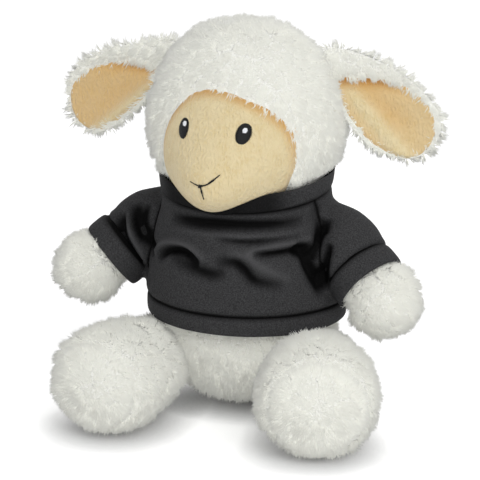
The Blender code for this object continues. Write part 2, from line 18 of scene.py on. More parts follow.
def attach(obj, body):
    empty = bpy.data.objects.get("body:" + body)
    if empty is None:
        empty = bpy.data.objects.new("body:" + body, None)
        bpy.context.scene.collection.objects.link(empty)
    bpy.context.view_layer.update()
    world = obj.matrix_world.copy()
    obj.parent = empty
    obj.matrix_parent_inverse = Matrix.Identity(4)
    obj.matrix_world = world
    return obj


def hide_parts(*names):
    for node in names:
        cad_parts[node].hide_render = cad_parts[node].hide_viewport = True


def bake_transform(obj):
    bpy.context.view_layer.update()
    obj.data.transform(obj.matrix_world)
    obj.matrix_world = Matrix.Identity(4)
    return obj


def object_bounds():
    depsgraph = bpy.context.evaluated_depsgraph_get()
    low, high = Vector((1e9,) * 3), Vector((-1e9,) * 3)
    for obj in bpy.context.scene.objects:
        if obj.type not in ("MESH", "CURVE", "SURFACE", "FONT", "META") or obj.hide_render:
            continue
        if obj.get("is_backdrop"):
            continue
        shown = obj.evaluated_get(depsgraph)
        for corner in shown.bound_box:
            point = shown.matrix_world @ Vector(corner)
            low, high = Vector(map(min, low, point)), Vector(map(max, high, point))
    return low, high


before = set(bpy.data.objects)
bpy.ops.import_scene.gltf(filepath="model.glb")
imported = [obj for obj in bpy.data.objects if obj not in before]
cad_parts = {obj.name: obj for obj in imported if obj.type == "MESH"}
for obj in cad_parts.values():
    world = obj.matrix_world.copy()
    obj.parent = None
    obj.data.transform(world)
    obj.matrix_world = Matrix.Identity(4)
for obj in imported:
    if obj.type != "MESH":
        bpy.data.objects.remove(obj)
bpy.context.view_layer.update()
MM = 0.001
SIDES = (("left", 1), ("right", -1))

# %% [markdown]
# ## Camera
# A product photograph like this one is taken with a long lens, so the camera stands 1.2 m
# away and looks slightly down, with the lamb's left side nearer. Shift moves the picture on
# the sensor, which leaves the perspective alone.

# %% Camera
CAMERA_AZIMUTH = math.radians(18)
CAMERA_ELEVATION = math.radians(16)
CAMERA_DISTANCE = 1.2
CAMERA_TARGET = Vector((0, -0.015, 0.095))
MM_PER_PIXEL = 0.49
PICTURE_SIZE = 480
SENSOR = 36
MIDDLE_PIXEL = (237.5, 226)

level = math.cos(CAMERA_ELEVATION)
towards_camera = Vector((
    math.sin(CAMERA_AZIMUTH) * level, -math.cos(CAMERA_AZIMUTH) * level, math.sin(CAMERA_ELEVATION),
))
camera = bpy.data.objects.new("camera", bpy.data.cameras.new("camera"))
bpy.context.scene.collection.objects.link(camera)
camera.location = CAMERA_TARGET + towards_camera * CAMERA_DISTANCE
camera.rotation_euler = towards_camera.to_track_quat("Z", "Y").to_euler()
camera.data.sensor_width = SENSOR
camera.data.lens = SENSOR * CAMERA_DISTANCE / (MM_PER_PIXEL * MM * PICTURE_SIZE)
camera.data.shift_x = (PICTURE_SIZE / 2 - MIDDLE_PIXEL[0]) / PICTURE_SIZE
camera.data.shift_y = (MIDDLE_PIXEL[1] - PICTURE_SIZE / 2) / PICTURE_SIZE
bpy.context.scene.camera = camera
bpy.context.scene.view_settings.view_transform = "Standard"
print("lens", round(camera.data.lens, 1), "mm")

# %% [markdown]
# ## Making forms from profiles
# A stuffed limb, a head and an ear are all one idea: a skin that swells and closes at both
# ends. Each is placed by two numbers, its share of the way from end to end and an angle
# round it. The profile is a short table, and a Catmull-Rom curve runs smoothly through it.

# %% Profiles and closed forms
def smooth_row(table, share):
    """Rows of a table at shares of the way through it, on a smooth curve."""
    rows = np.asarray(table, float)
    spans = len(rows) - 1
    at = np.clip(np.asarray(share, float), 0, 1) * spans
    i = np.minimum(at.astype(int), spans - 1)
    t = (at - i)[:, None]
    a, b, c, d = (rows[np.clip(i + k, 0, spans)] for k in (-1, 0, 1, 2))
    cubic = (c - a) * t + (2 * a - 5 * b + 4 * c - d) * t**2 + (3 * b - a - 3 * c + d) * t**3
    return b + 0.5 * cubic


def smooth_step(low, high, values):
    t = np.clip((values - low) / (high - low), 0, 1)
    return t * t * (3 - 2 * t)


def bell(away, half):
    """1 at the middle of a bump, which fades out about two half widths away."""
    return np.exp(-((away / half) ** 2))


def new_object(name, mesh):
    made = bpy.data.objects.new(name, mesh)
    bpy.context.scene.collection.objects.link(made)
    return made


@contextmanager
def editing(mesh):
    """A mesh opened for editing, and written back afterwards."""
    shape = bmesh.new()
    shape.from_mesh(mesh)
    yield shape
    shape.to_mesh(mesh)
    shape.free()


def new_piece(name, points, faces, finish):
    """A smooth mesh object whose faces point outwards when it is closed."""
    mesh = bpy.data.meshes.new(name)
    mesh.from_pydata([tuple(p) for p in points], [], faces)
    mesh.materials.append(finish)
    with editing(mesh) as shape:
        if shape.calc_volume(signed=True) < 0:
            bmesh.ops.reverse_faces(shape, faces=shape.faces)
    mesh.shade_smooth()
    return new_object(name, mesh)


def ring_faces(rows, columns, first=0):
    """Quads between rings of points, each ring closed on itself."""
    return [
        (first + i * columns + j, first + i * columns + (j + 1) % columns,
         first + (i + 1) * columns + (j + 1) % columns, first + (i + 1) * columns + j)
        for i in range(rows - 1) for j in range(columns)
    ]


def cap(tip, ring, columns, flipped=False):
    """Triangles from one point to a ring of points, each given by its number."""
    pairs = [(ring + j, ring + (j + 1) % columns) for j in range(columns)]
    return [(tip, b, a) if flipped else (tip, a, b) for a, b in pairs]


def round_form(name, columns, rings, place, finish):
    """A skin that closes at both ends. place turns arrays of share and angle into points."""
    share, angle = np.meshgrid(
        np.arange(1, rings) / rings, np.arange(columns) * math.tau / columns, indexing="ij"
    )
    ends = place(np.array([0.0, 1.0]), np.zeros(2))
    points = np.vstack([ends, place(share.ravel(), angle.ravel())])
    faces = ring_faces(rings - 1, columns, 2) + cap(0, 2, columns, flipped=True)
    faces += cap(1, 2 + (rings - 2) * columns, columns)
    return new_piece(name, points, faces, finish)


def points_of(piece):
    co = np.empty(len(piece.data.vertices) * 3)
    piece.data.vertices.foreach_get("co", co)
    return co.reshape(-1, 3)


def normals_of(piece):
    flat = np.empty(len(piece.data.vertices) * 3)
    piece.data.vertex_normals.foreach_get("vector", flat)
    return flat.reshape(-1, 3)


def set_points(piece, points):
    piece.data.vertices.foreach_set("co", np.asarray(points, float).ravel())
    piece.data.update()


def grow(piece, amount):
    """Moves every point along its normal."""
    set_points(piece, points_of(piece) + normals_of(piece) * np.reshape(amount, (-1, 1)))


def unit_rows(vectors):
    return vectors / np.maximum(np.linalg.norm(vectors, axis=1), 1e-9)[:, None]


def lumps(points, size, seed):
    """Smooth noise from -1 to 1 with lumps of about one size."""
    shift = Vector((seed, seed, seed))
    return np.array([noise.noise(Vector(p) / size + shift) for p in points])


def tag(piece, name, values):
    """Stores a number or a direction on every point of a piece."""
    values = np.asarray(values, np.float32)
    kind = "FLOAT" if values.ndim == 1 else "FLOAT_VECTOR"
    made = piece.data.attributes.new(name, kind, "POINT")
    made.data.foreach_set("value" if values.ndim == 1 else "vector", values.ravel())


# %% [markdown]
# ## Finishes
# Each finish is a small node tree. Plush pile is many matt fibres, and no two locks match.
# Its colour is painted darker and warmer at the root, as shade where little light reaches,
# and paler at the tip. So the pile's colour reads two numbers that the pile carries, its
# place along the fibre and its lock's own tone. Cloth under it reads Object coordinates, so
# that a pattern keeps its size on every piece.

# %% Node helpers and finishes
def add(tree, kind, inputs=None, **settings):
    """One node. Each input is a value, or another node's output to link."""
    made = tree.nodes.new(kind)
    for key, value in settings.items():
        setattr(made, key, value)
    for key, value in (inputs or {}).items():
        if isinstance(value, bpy.types.NodeSocket):
            tree.links.new(value, made.inputs[key])
        else:
            made.inputs[key].default_value = value
    return made


def new_finish(name, roughness, specular=0.5, **constants):
    finish = bpy.data.materials.new(name)
    finish.use_nodes = True
    shader = finish.node_tree.nodes["Principled BSDF"]
    shader.inputs["Roughness"].default_value = roughness
    shader.inputs["Specular IOR Level"].default_value = specular
    for key, value in constants.items():
        shader.inputs[key.replace("_", " ")].default_value = value
    return finish, finish.node_tree, shader


def mixed(tree, share, low, high):
    """A colour between two, by a share."""
    made = add(tree, "ShaderNodeMix", {"Factor": share}, data_type="RGBA")
    for socket, colour in ((made.inputs[6], low), (made.inputs[7], high)):
        if isinstance(colour, bpy.types.NodeSocket):
            tree.links.new(colour, socket)
        else:
            socket.default_value = (*colour, 1)
    return made.outputs[2]


def maths(tree, operation, a, b):
    return add(tree, "ShaderNodeMath", {0: a, 1: b}, operation=operation).outputs[0]


def attribute(tree, name):
    return add(tree, "ShaderNodeAttribute", attribute_name=name).outputs["Fac"]


NOISE_SPAN = (0.35, 0.65)


def noise_share(tree, size, stretch=(1, 1, 1), detail=2):
    """Noise of one grain size on Object coordinates, spread out to run from 0 to 1."""
    place = add(tree, "ShaderNodeTexCoord").outputs["Object"]
    place = add(tree, "ShaderNodeMapping", {"Vector": place, "Scale": stretch}).outputs[0]
    grain = add(tree, "ShaderNodeTexNoise", {"Vector": place, "Scale": 1 / size, "Detail": detail})
    spread = {"Value": grain.outputs[0], "From Min": NOISE_SPAN[0], "From Max": NOISE_SPAN[1]}
    return add(tree, "ShaderNodeMapRange", spread).outputs[0]


def bump(tree, shader, height, depth):
    made = add(tree, "ShaderNodeBump", {"Height": height, "Strength": 1, "Distance": depth})
    tree.links.new(made.outputs[0], shader.inputs["Normal"])


# the root colour is painted shade, where little light reaches between the fibres
PILE_ROOT_SHADED, PILE_TIP = (0.80, 0.80, 0.715), (0.86, 0.865, 0.80)
PILE_WARM = (0.80, 0.795, 0.72)
SKIN_LIGHT, SKIN_DARK = (0.94, 0.94, 0.89), (0.88, 0.88, 0.82)


def make_pile_finish():
    finish, tree, shader = new_finish("white_curly_pile", 0.9, 0.1, Sheen_Weight=0.45, Sheen_Roughness=0.6)
    # painted shade: the colour darkens towards the fibre's root
    fibre_with_root_shade = mixed(tree, attribute(tree, "tip"), PILE_ROOT_SHADED, PILE_TIP)
    colour = mixed(tree, attribute(tree, "shade"), fibre_with_root_shade, PILE_WARM)
    tree.links.new(colour, shader.inputs["Base Color"])
    return finish


def make_grained_finish(name, sheen, grain, dark, light, depth):
    """One grain between two colours. sheen is roughness and specular, and grain a size and a stretch."""
    finish, tree, shader = new_finish(name, *sheen)
    grain = noise_share(tree, *grain)
    tree.links.new(mixed(tree, grain, dark, light), shader.inputs["Base Color"])
    bump(tree, shader, grain, depth)
    return finish


# painted shade in hollows
VELOUR_SHADE = (0.40, 0.19, 0.05)
# the last of these is painted shade at seams and edges, and a deeper tone on the ear linings
VELOUR_PALE, VELOUR_DEEP, VELOUR_SHADE_AND_TONE = (0.74, 0.62, 0.38), (0.68, 0.54, 0.29), (0.62, 0.34, 0.09)


def make_velour_finish():
    """Short pile brushed one way: fine streaks, with painted shade at seams and in hollows."""
    finish, tree, shader = new_finish("tan_velour", 0.85, 0.15, Sheen_Weight=0.3)
    streak = noise_share(tree, 1.1 * MM, (1, 1, 0.5), 4)
    cloud = noise_share(tree, 6 * MM)
    brushed = mixed(tree, streak, VELOUR_DEEP, VELOUR_PALE)
    patchy = mixed(tree, cloud, brushed, VELOUR_PALE)
    # painted shade along the seams, and on the ear linings painted shade and highlight over a deeper tone
    with_shade_and_tone = mixed(tree, attribute(tree, "seam"), patchy, VELOUR_SHADE_AND_TONE)
    # painted shade in the hollows
    tree.links.new(mixed(tree, attribute(tree, "painted_shade"), with_shade_and_tone, VELOUR_SHADE), shader.inputs["Base Color"])
    bump(tree, shader, streak, 0.5 * MM)
    return finish


JERSEY_DARK, JERSEY_LIGHT = (0.025, 0.025, 0.026), (0.052, 0.052, 0.054)
# painted shade for hollows and seams, and a painted highlight for the rolls of the folds
JERSEY_SHADE, JERSEY_ROLL_HIGHLIGHT = (0.002, 0.002, 0.002), (0.085, 0.085, 0.088)


def make_jersey_finish():
    """Fine black knit: a soft fuzz, tiny uneven stitches, painted shade in hollows and seams, and a painted
    highlight on the folds' rolls.
    """
    finish, tree, shader = new_finish("black_jersey", 0.7, 0.03)
    fuzz = noise_share(tree, 0.6 * MM, (1, 1, 1), 3)
    # painted highlight on the rolls of the folds
    knit_and_highlight = mixed(tree, attribute(tree, "roll"), mixed(tree, fuzz, JERSEY_DARK, JERSEY_LIGHT), JERSEY_ROLL_HIGHLIGHT)
    # painted shade in the folds' hollows, under the chin, in the sleeve tucks and along the seams
    deep = maths(tree, "MAXIMUM", attribute(tree, "painted_shade"), attribute(tree, "seam"))
    tree.links.new(mixed(tree, deep, knit_and_highlight, JERSEY_SHADE), shader.inputs["Base Color"])
    bump(tree, shader, fuzz, 0.12 * MM)
    return finish


THREAD_SHEEN, THREAD_TWIST, THREAD_RELIEF = (0.5, 0.2), (0.35 * MM, (1, 0.3, 1)), 0.08 * MM
BLACKS, WHITES = ((0.002, 0.002, 0.002), (0.009, 0.009, 0.010)), ((0.70, 0.72, 0.76), (0.92, 0.93, 0.95))

PILE = make_pile_finish()
SKIN = make_grained_finish("plush_backing", (0.95,), (1.4 * MM,), SKIN_DARK, SKIN_LIGHT, 0.8 * MM)
VELOUR = make_velour_finish()
JERSEY = make_jersey_finish()
BLACK_THREAD = make_grained_finish("black_thread", THREAD_SHEEN, THREAD_TWIST, *BLACKS, THREAD_RELIEF)
WHITE_THREAD = make_grained_finish("white_thread", THREAD_SHEEN, THREAD_TWIST, *WHITES, THREAD_RELIEF)
print("finishes", [m.name for m in (PILE, SKIN, VELOUR, JERSEY, BLACK_THREAD, WHITE_THREAD)])

# %% [markdown]
# ## The pile
# Curly plush is far too fine to model fibre by fibre, and a flat colour with bumps looks
# like plaster. The middle way is a lock of fibres: one small closed spindle, three-sided, so
# that it costs six triangles. A Geometry Nodes tree scatters thousands over a skin. Each one
# leans three ways at once: along the comb direction, towards the middle of its own cell of a
# Voronoi pattern, which gathers the blades into curls, and a little at random.

# %% The blades
BLADE_BENDS = ((0.0, 0.0), (1.5, 0.6), (-1.1, 1.2), (0.8, -1.6))
BLADE_SIDES = 3
BLADE_WAIST = 0.38


def make_blade(name, bend):
    """A unit lock: one long, one wide at its waist, pointed at both ends and bent by some widths."""
    sway = BLADE_WAIST**2
    points = [(0, 0, 0), (bend[0], bend[1], 1)]
    for k in range(BLADE_SIDES):
        angle = math.tau * k / BLADE_SIDES
        points.append((
            bend[0] * sway + 0.5 * math.cos(angle), bend[1] * sway + 0.5 * math.sin(angle), BLADE_WAIST,
        ))
    faces = cap(0, 2, BLADE_SIDES, flipped=True) + cap(1, 2, BLADE_SIDES)
    blade = new_piece(name, points, faces, PILE)
    tag(blade, "tip", [p[2] for p in points])
    return blade


blades = bpy.data.collections.new("blades")
for number, bend in enumerate(BLADE_BENDS):
    blade = make_blade(f"blade_{number}", bend)
    bpy.context.scene.collection.objects.unlink(blade)
    blades.objects.link(blade)
print("blade triangles", sum(len(p.vertices) - 2 for p in blade.data.polygons))


# %% [markdown]
# ## Scattering the pile
# One Geometry Nodes tree grows every piece of pile. It scatters blades over a skin where its
# "pile" attribute asks for them and stands them along the normal. They lean by the "comb"
# attribute, towards the middle of their lock and a little at random, and each lock has its
# own length and shade. The blades' normals are drawn towards the skin's, which softens the
# light on them. Each piece gives the tree a density, a length and a seed.

# %% The tree that scatters them
def named(tree, name, kind="FLOAT"):
    made = add(tree, "GeometryNodeInputNamedAttribute", {"Name": name}, data_type=kind)
    return made.outputs["Attribute"]


def vector_maths(tree, operation, a, b):
    key = "Scale" if operation == "SCALE" else 1
    return add(tree, "ShaderNodeVectorMath", {0: a, key: b}, operation=operation).outputs[0]


def new_tree(name, inputs, output):
    """A tree with named inputs, and the sockets that give them."""
    tree = bpy.data.node_groups.new(name, "GeometryNodeTree")
    for label, kind in inputs:
        tree.interface.new_socket(label, in_out="INPUT", socket_type="NodeSocket" + kind)
    tree.interface.new_socket(output, in_out="OUTPUT", socket_type="NodeSocketGeometry")
    return tree, add(tree, "NodeGroupInput").outputs


def random_number(tree, seed, step, low, high):
    """A number between two at each place, from the seed and a step of its own."""
    seed = maths(tree, "ADD", seed, step)
    return add(tree, "FunctionNodeRandomValue", {2: low, 3: high, "Seed": seed}, data_type="FLOAT").outputs[1]


BLADE_LENGTHS = (0.7, 1.15)
LOCK_SHORTEST, LOCK_SPREAD = 0.8, 0.45
PILE_NUMBERS = ("Density", "Length", "Width", "Curl Size", "Curl", "Comb", "Stray", "Softness")
PILE_INPUTS = (
    ("Skin", "Geometry"), *((name, "Float") for name in PILE_NUMBERS), ("Seed", "Int"),
    ("Blades", "Collection"), ("Finish", "Material"),
)


def make_pile_tree():
    tree, given = new_tree("pile", PILE_INPUTS, "Pile")
    scatter = add(tree, "GeometryNodeDistributePointsOnFaces", {
        "Mesh": given["Skin"], "Density": maths(tree, "MULTIPLY", given["Density"], named(tree, "pile")),
        "Seed": given["Seed"],
    })
    place = add(tree, "GeometryNodeInputPosition").outputs[0]
    curls = add(tree, "ShaderNodeTexVoronoi", {
        "Vector": place, "Scale": maths(tree, "DIVIDE", 1.0, given["Curl Size"]),
    })
    to_middle = vector_maths(tree, "SUBTRACT", curls.outputs["Position"], place)
    pull = maths(tree, "DIVIDE", given["Curl"], given["Curl Size"])
    lean = vector_maths(tree, "SCALE", to_middle, pull)
    combed = vector_maths(tree, "SCALE", named(tree, "comb", "FLOAT_VECTOR"), given["Comb"])
    stray = add(tree, "FunctionNodeRandomValue", {
        0: (-1, -1, -1), 1: (1, 1, 1), "Seed": given["Seed"],
    }, data_type="FLOAT_VECTOR").outputs[0]
    stray = vector_maths(tree, "SCALE", stray, given["Stray"])
    direction = scatter.outputs["Normal"]
    for part in (lean, combed, stray):
        direction = vector_maths(tree, "ADD", direction, part)
    roll = random_number(tree, given["Seed"], 1.0, 0.0, math.tau)
    turn = add(tree, "ShaderNodeCombineXYZ", {"Z": roll}).outputs[0]
    turn = add(tree, "FunctionNodeEulerToRotation", {"Euler": turn}).outputs[0]
    facing = add(tree, "FunctionNodeAlignRotationToVector", {
        "Rotation": turn, "Vector": direction,
    }, axis="Z").outputs[0]
    size = random_number(tree, given["Seed"], 2.0, *BLADE_LENGTHS)
    size = maths(tree, "MULTIPLY", size, named(tree, "pile_length"))
    lock = add(tree, "FunctionNodeSeparateColor", {0: curls.outputs["Color"]}).outputs
    lock_length = maths(tree, "ADD", LOCK_SHORTEST, maths(tree, "MULTIPLY", lock[1], LOCK_SPREAD))
    size = maths(tree, "MULTIPLY", size, lock_length)
    length = maths(tree, "MULTIPLY", size, given["Length"])
    scale = add(tree, "ShaderNodeCombineXYZ", {
        "X": given["Width"], "Y": given["Width"], "Z": length,
    }).outputs[0]
    pick = add(tree, "FunctionNodeRandomValue", {
        4: 0, 5: len(BLADE_BENDS) - 1, "Seed": maths(tree, "ADD", given["Seed"], 3.0),
    }, data_type="INT").outputs[2]
    models = add(tree, "GeometryNodeCollectionInfo", {
        "Collection": given["Blades"], "Separate Children": True, "Reset Children": True,
    }).outputs[0]
    shade = maths(tree, "MULTIPLY", random_number(tree, given["Seed"], 4.0, 0.0, 1.0), lock[0])
    shaded = add(tree, "GeometryNodeStoreNamedAttribute", {
        "Geometry": scatter.outputs["Points"], "Name": "shade", "Value": shade,
    }, data_type="FLOAT", domain="POINT").outputs[0]
    shaded = add(tree, "GeometryNodeStoreNamedAttribute", {
        "Geometry": shaded, "Name": "skin_normal", "Value": scatter.outputs["Normal"],
    }, data_type="FLOAT_VECTOR", domain="POINT").outputs[0]
    placed = add(tree, "GeometryNodeInstanceOnPoints", {
        "Points": shaded, "Instance": models, "Pick Instance": True, "Instance Index": pick,
        "Rotation": facing, "Scale": scale,
    }).outputs[0]
    real = add(tree, "GeometryNodeRealizeInstances", {"Geometry": placed}).outputs[0]
    own = add(tree, "GeometryNodeInputNormal").outputs[0]
    around = vector_maths(tree, "SCALE", named(tree, "skin_normal", "FLOAT_VECTOR"), given["Softness"])
    soft = vector_maths(tree, "ADD", own, around)
    soft = add(tree, "ShaderNodeVectorMath", {0: soft}, operation="NORMALIZE").outputs[0]
    soft = {"Mesh": real, "Custom Normal": soft}
    real = add(tree, "GeometryNodeSetMeshNormal", soft, mode="FREE").outputs[0]
    finished = add(tree, "GeometryNodeSetMaterial", {"Geometry": real, "Material": given["Finish"]})
    add(tree, "NodeGroupOutput", {"Pile": finished.outputs[0]})
    return tree


PILE_TREE = make_pile_tree()
FLOOR_TOUCH = 0.1 * MM
PILE_STRAY, PILE_SOFTNESS = 0.3, 0.7


def grown_mesh(skin, tree, values):
    """What a Geometry Nodes tree makes of a piece, as a plain mesh. The piece stays as it was."""
    modifier = skin.modifiers.new("grown", "NODES")
    modifier.node_group = tree
    for item in tree.interface.items_tree:
        if item.in_out == "INPUT" and item.name in values:
            modifier[item.identifier] = values[item.name]
    ready = skin.evaluated_get(bpy.context.evaluated_depsgraph_get())
    mesh = bpy.data.meshes.new_from_object(ready)
    skin.modifiers.remove(modifier)
    return mesh


def grow_pile(name, skin, seed, density, length, width, curl_size=5.5, curl=0.8, comb=0.7):
    """The pile on a skin. Density is locks per square millimetre, and the sizes are millimetres."""
    kept = 1
    mesh = grown_mesh(skin, PILE_TREE, {
        "Density": density / MM**2 * kept, "Length": length * MM, "Width": width * MM / math.sqrt(kept),
        "Curl Size": curl_size * MM, "Curl": curl, "Comb": comb, "Stray": PILE_STRAY,
        "Softness": PILE_SOFTNESS, "Seed": seed, "Blades": blades, "Finish": PILE,
    })
    mesh.name = name
    pile = new_object(name, mesh)
    points = points_of(pile)
    points[:, 2] = np.maximum(points[:, 2], FLOOR_TOUCH)
    set_points(pile, points)
    # fibres are clear, so the pile dims no light: only the skin under it shades
    pile.visible_shadow = pile.visible_diffuse = False
    print(name, len(mesh.polygons), "faces")
    return pile


def finish_piece(piece, body=None, bend=None, replaces=()):
    """Parents a piece to its body, or only bakes its transform when it has a bend, and hides the CAD nodes it
    stands for.
    """
    if bend:
        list(bend[:2])
        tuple(bend[2])
        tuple(bend[3])
        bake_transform(piece)
    else:
        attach(piece, body)
    if replaces:
        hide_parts(*replaces)
    return piece


# %% [markdown]
# ## The head
# The hood is a stuffed ball, a little higher above its middle than below, with a broad
# muzzle that swells forwards and down. It is one smooth formula: an ellipsoid plus a soft
# bump round the muzzle's direction. The hood's cloth lies a pile's depth inside the CAD
# outline, so that the tips of the pile reach it. The head is turned slightly to its right.

# %% The head's form
NECK = Vector((0, 0.001, 0.097))
HEAD_TURN = Matrix.Translation(NECK) @ Matrix.Rotation(math.radians(-4), 4, "Z") @ Matrix.Translation(-NECK)
HEAD_CENTRE = np.array((0, 2, 143.5)) * MM
HEAD_HALF_WIDTH, HEAD_HALF_DEPTH, HEAD_RISE, HEAD_DROP = (v * MM for v in (49.5, 43.5, 51.5, 46.5))
MUZZLE_PITCH, FACE_PITCH = math.radians(-23), math.radians(-17)
MUZZLE_SWELL, MUZZLE_SPREAD = 19 * MM, math.radians(31)


def forwards(pitch):
    return np.array((0, -math.cos(pitch), math.sin(pitch)))


def units(share, angle):
    """Directions from the bottom pole to the top one."""
    reach = np.sin(share * math.pi)
    return np.stack([reach * np.cos(angle), reach * np.sin(angle), -np.cos(share * math.pi)], 1)


def head_surface(share, angle):
    unit = units(share, angle)
    height = np.where(unit[:, 2] > 0, HEAD_RISE, HEAD_DROP)
    away = np.arccos(np.clip(unit @ forwards(MUZZLE_PITCH), -1, 1))
    swell = MUZZLE_SWELL * bell(away, MUZZLE_SPREAD)
    reach = np.stack([np.full(len(unit), HEAD_HALF_WIDTH), np.full(len(unit), HEAD_HALF_DEPTH), height], 1)
    return HEAD_CENTRE + unit * reach + swell[:, None] * forwards(MUZZLE_PITCH)


def turned(points):
    """Points of the straight head, turned with it."""
    grid = np.array(HEAD_TURN)
    return points @ grid[:3, :3].T + grid[:3, 3]


def turn_with_head(piece):
    set_points(piece, turned(points_of(piece)))
    return piece


# %% [markdown]
# ## Where face and hood meet
# The velour face is let into the hood along one oval seam. Its outline is a table of radii
# round the face's middle. Both pieces read it: the hood leaves its pile off inside it, and
# the face ends there.

# %% The face seam
FACE_SEAM_RADII = (38.5, 39, 37, 35.5, 36, 36.5, 35, 34, 33.5, 34.5, 35, 35, 35.5, 36.5, 37, 37, 38.5)
FACE_AXIS = forwards(FACE_PITCH)
FACE_SIDEWAYS = np.array((1.0, 0, 0))
FACE_UP = np.cross(FACE_SIDEWAYS, FACE_AXIS)
FACE_UP = FACE_UP * np.sign(FACE_UP[2])


def face_places(points):
    """Radius and angle round the face's middle, and the height in front of the head's centre."""
    away = points - HEAD_CENTRE
    across, up = away @ FACE_SIDEWAYS, away @ FACE_UP
    return np.hypot(across, up), np.arctan2(up, across), away @ FACE_AXIS


def seam_radius(angle):
    return smooth_row([(r,) for r in FACE_SEAM_RADII], (angle % math.tau) / math.tau)[:, 0] * MM


# %% [markdown]
# ## The hood
# The hood's pile stops at the face's seam, where it stands up longer over the edge, and at
# the collar. It falls from the crown and turns slowly from place to place. Three pieces
# share it, so that none is too heavy to handle.

# %% The hood and its pile
HOOD_DEPTH, HOOD_LUMPS = 2.9 * MM, 0.9 * MM
SIDE_FULLNESS, CROWN_FULLNESS = 1.5 * MM, 1.2 * MM
# distances over which the pile begins at the face's seam and above the collar, and grows long there
FACE_START, FACE_LONG = (-0.6 * MM, 0.4 * MM), (1 * MM, 9 * MM)
COLLAR_START, COLLAR_LONG = (7.5 * MM, 9.5 * MM), (9 * MM, 16 * MM)
NECK_HEIGHT, NECK_SLOPE = 113 * MM, 0.10


def combed(points, normals, pull, curl, seed, swirl=1.0, extra=0):
    """Directions that lie on a skin along a pull, with slow random turns."""
    pull = np.broadcast_to(np.asarray(pull, float), points.shape)
    lying = pull - normals * np.sum(pull * normals, axis=1)[:, None]
    turns = np.stack([lumps(points, curl, seed + k) for k in range(3)], 1)
    return unit_rows(lying + turns * swirl + extra)


hood = round_form("head_hood", 132, 96, head_surface, SKIN)
on_head = points_of(hood)
radius, angle, front = face_places(on_head)
past_seam = np.where(front > 0, radius - seam_radius(angle), 1)
above_collar = turned(on_head) @ (0, -NECK_SLOPE, 1) - NECK_HEIGHT
tag(hood, "pile", smooth_step(*FACE_START, past_seam) * smooth_step(*COLLAR_START, above_collar))
near_seam = 1 - smooth_step(*FACE_LONG, past_seam)
tag(hood, "pile_length", (1 + 0.3 * near_seam) * (0.45 + 0.55 * smooth_step(*COLLAR_LONG, above_collar)))
fuller = SIDE_FULLNESS * smooth_step(10 * MM, 45 * MM, -on_head[:, 0])
fuller += CROWN_FULLNESS * smooth_step(165 * MM, 190 * MM, on_head[:, 2])
grow(hood, lumps(on_head, 13 * MM, 3) * HOOD_LUMPS - HOOD_DEPTH + fuller)
over_face = unit_rows(on_head - HEAD_CENTRE - FACE_AXIS * 40 * MM) * near_seam[:, None] * -1.2
comb = combed(on_head, normals_of(hood), (0, 0.25, -1.0), 22 * MM, 11, 1.3, over_face)
tag(turn_with_head(hood), "comb", comb)

CROWN_SPLIT = 22 * MM
across = points_of(hood)[:, 0]
beyond_left = smooth_step(CROWN_SPLIT - MM, CROWN_SPLIT + MM, across)
beyond_right = smooth_step(-CROWN_SPLIT - MM, MM - CROWN_SPLIT, across)
grows = np.array([place.value for place in hood.data.attributes["pile"].data])
shares = {"left": beyond_left, "middle": beyond_right - beyond_left, "right": 1 - beyond_right}
for name, share in shares.items():
    hood.data.attributes["pile"].data.foreach_set("value", (grows * share).astype(np.float32))
    pile = grow_pile("head_pile_" + name, hood, 5 + len(name), density=3.4, length=4.3, width=0.5, comb=0.75)
    finish_piece(pile, "head")
finish_piece(hood, "head", replaces=("head_cover", "head_stuffing"))
print("hood points", len(on_head))

# %% [markdown]
# ## The neck
# The filling of the neck hides inside the collar. It is the ball that the head turns on.

# %% The neck's filling
NECK_HALF = 22 * MM


def neck_surface(share, angle):
    return np.array(NECK) + units(share, angle) * NECK_HALF


neck = round_form("neck_filling", 24, 14, neck_surface, SKIN)
finish_piece(neck, "neck", replaces=("neck_stuffing",))

# %% [markdown]
# ## The face
# Velour is a short, dense pile on a thin cloth, so the face is one smooth sheet. It is laid
# over the head's form as a disc of rings, a little lower than the hood's pile. Towards its
# seam the cloth rolls down and inwards, which leaves the shadow line round a real one, and a
# painted shadow of the hood's fur darkens that rim, most at the top. Two faint tucks run
# from beside the nose, where the cloth was eased over the filling.

# %% The face panel
FACE_RINGS, FACE_COLUMNS = 40, 120
FACE_INSET, FACE_ROLL, FACE_ROLL_WIDTH, FACE_TUCK_UNDER = 0.8 * MM, 2.3 * MM, 5 * MM, 1.2 * MM
FACE_CLOTH = 0.9 * MM
FACE_SHADE, FACE_SHADE_RISE = (0.5 * MM, 6 * MM), (-10 * MM, 20 * MM)
CREASES, CREASE_HALF = (((9, -6), (16, -13), 0.45), ((-8, -7), (-14, -13), 0.3)), 0.9


def tree_of(piece):
    """A piece as triangles that rays can be cast at."""
    with editing(piece.data) as shape:
        return BVHTree.FromBMesh(shape)


form = round_form("form", 220, 160, head_surface, SKIN)
HEAD_TREE = tree_of(form)
bpy.data.objects.remove(form)
# where rays start, in metres from the middle
FAR = 0.3


def cast(tree, start, direction):
    hit, normal, _, _ = tree.ray_cast(Vector(start), Vector(direction))
    return np.array(hit), np.array(normal)


def near_line(points, start, end):
    """Distance from points to a straight stretch, and the share along it of the nearest place."""
    start, end = np.asarray(start, float), np.asarray(end, float)
    run = end - start
    share = np.clip((points - start) @ run / (run @ run), 0, 1)
    return np.linalg.norm(points - start - share[:, None] * run, axis=1), share


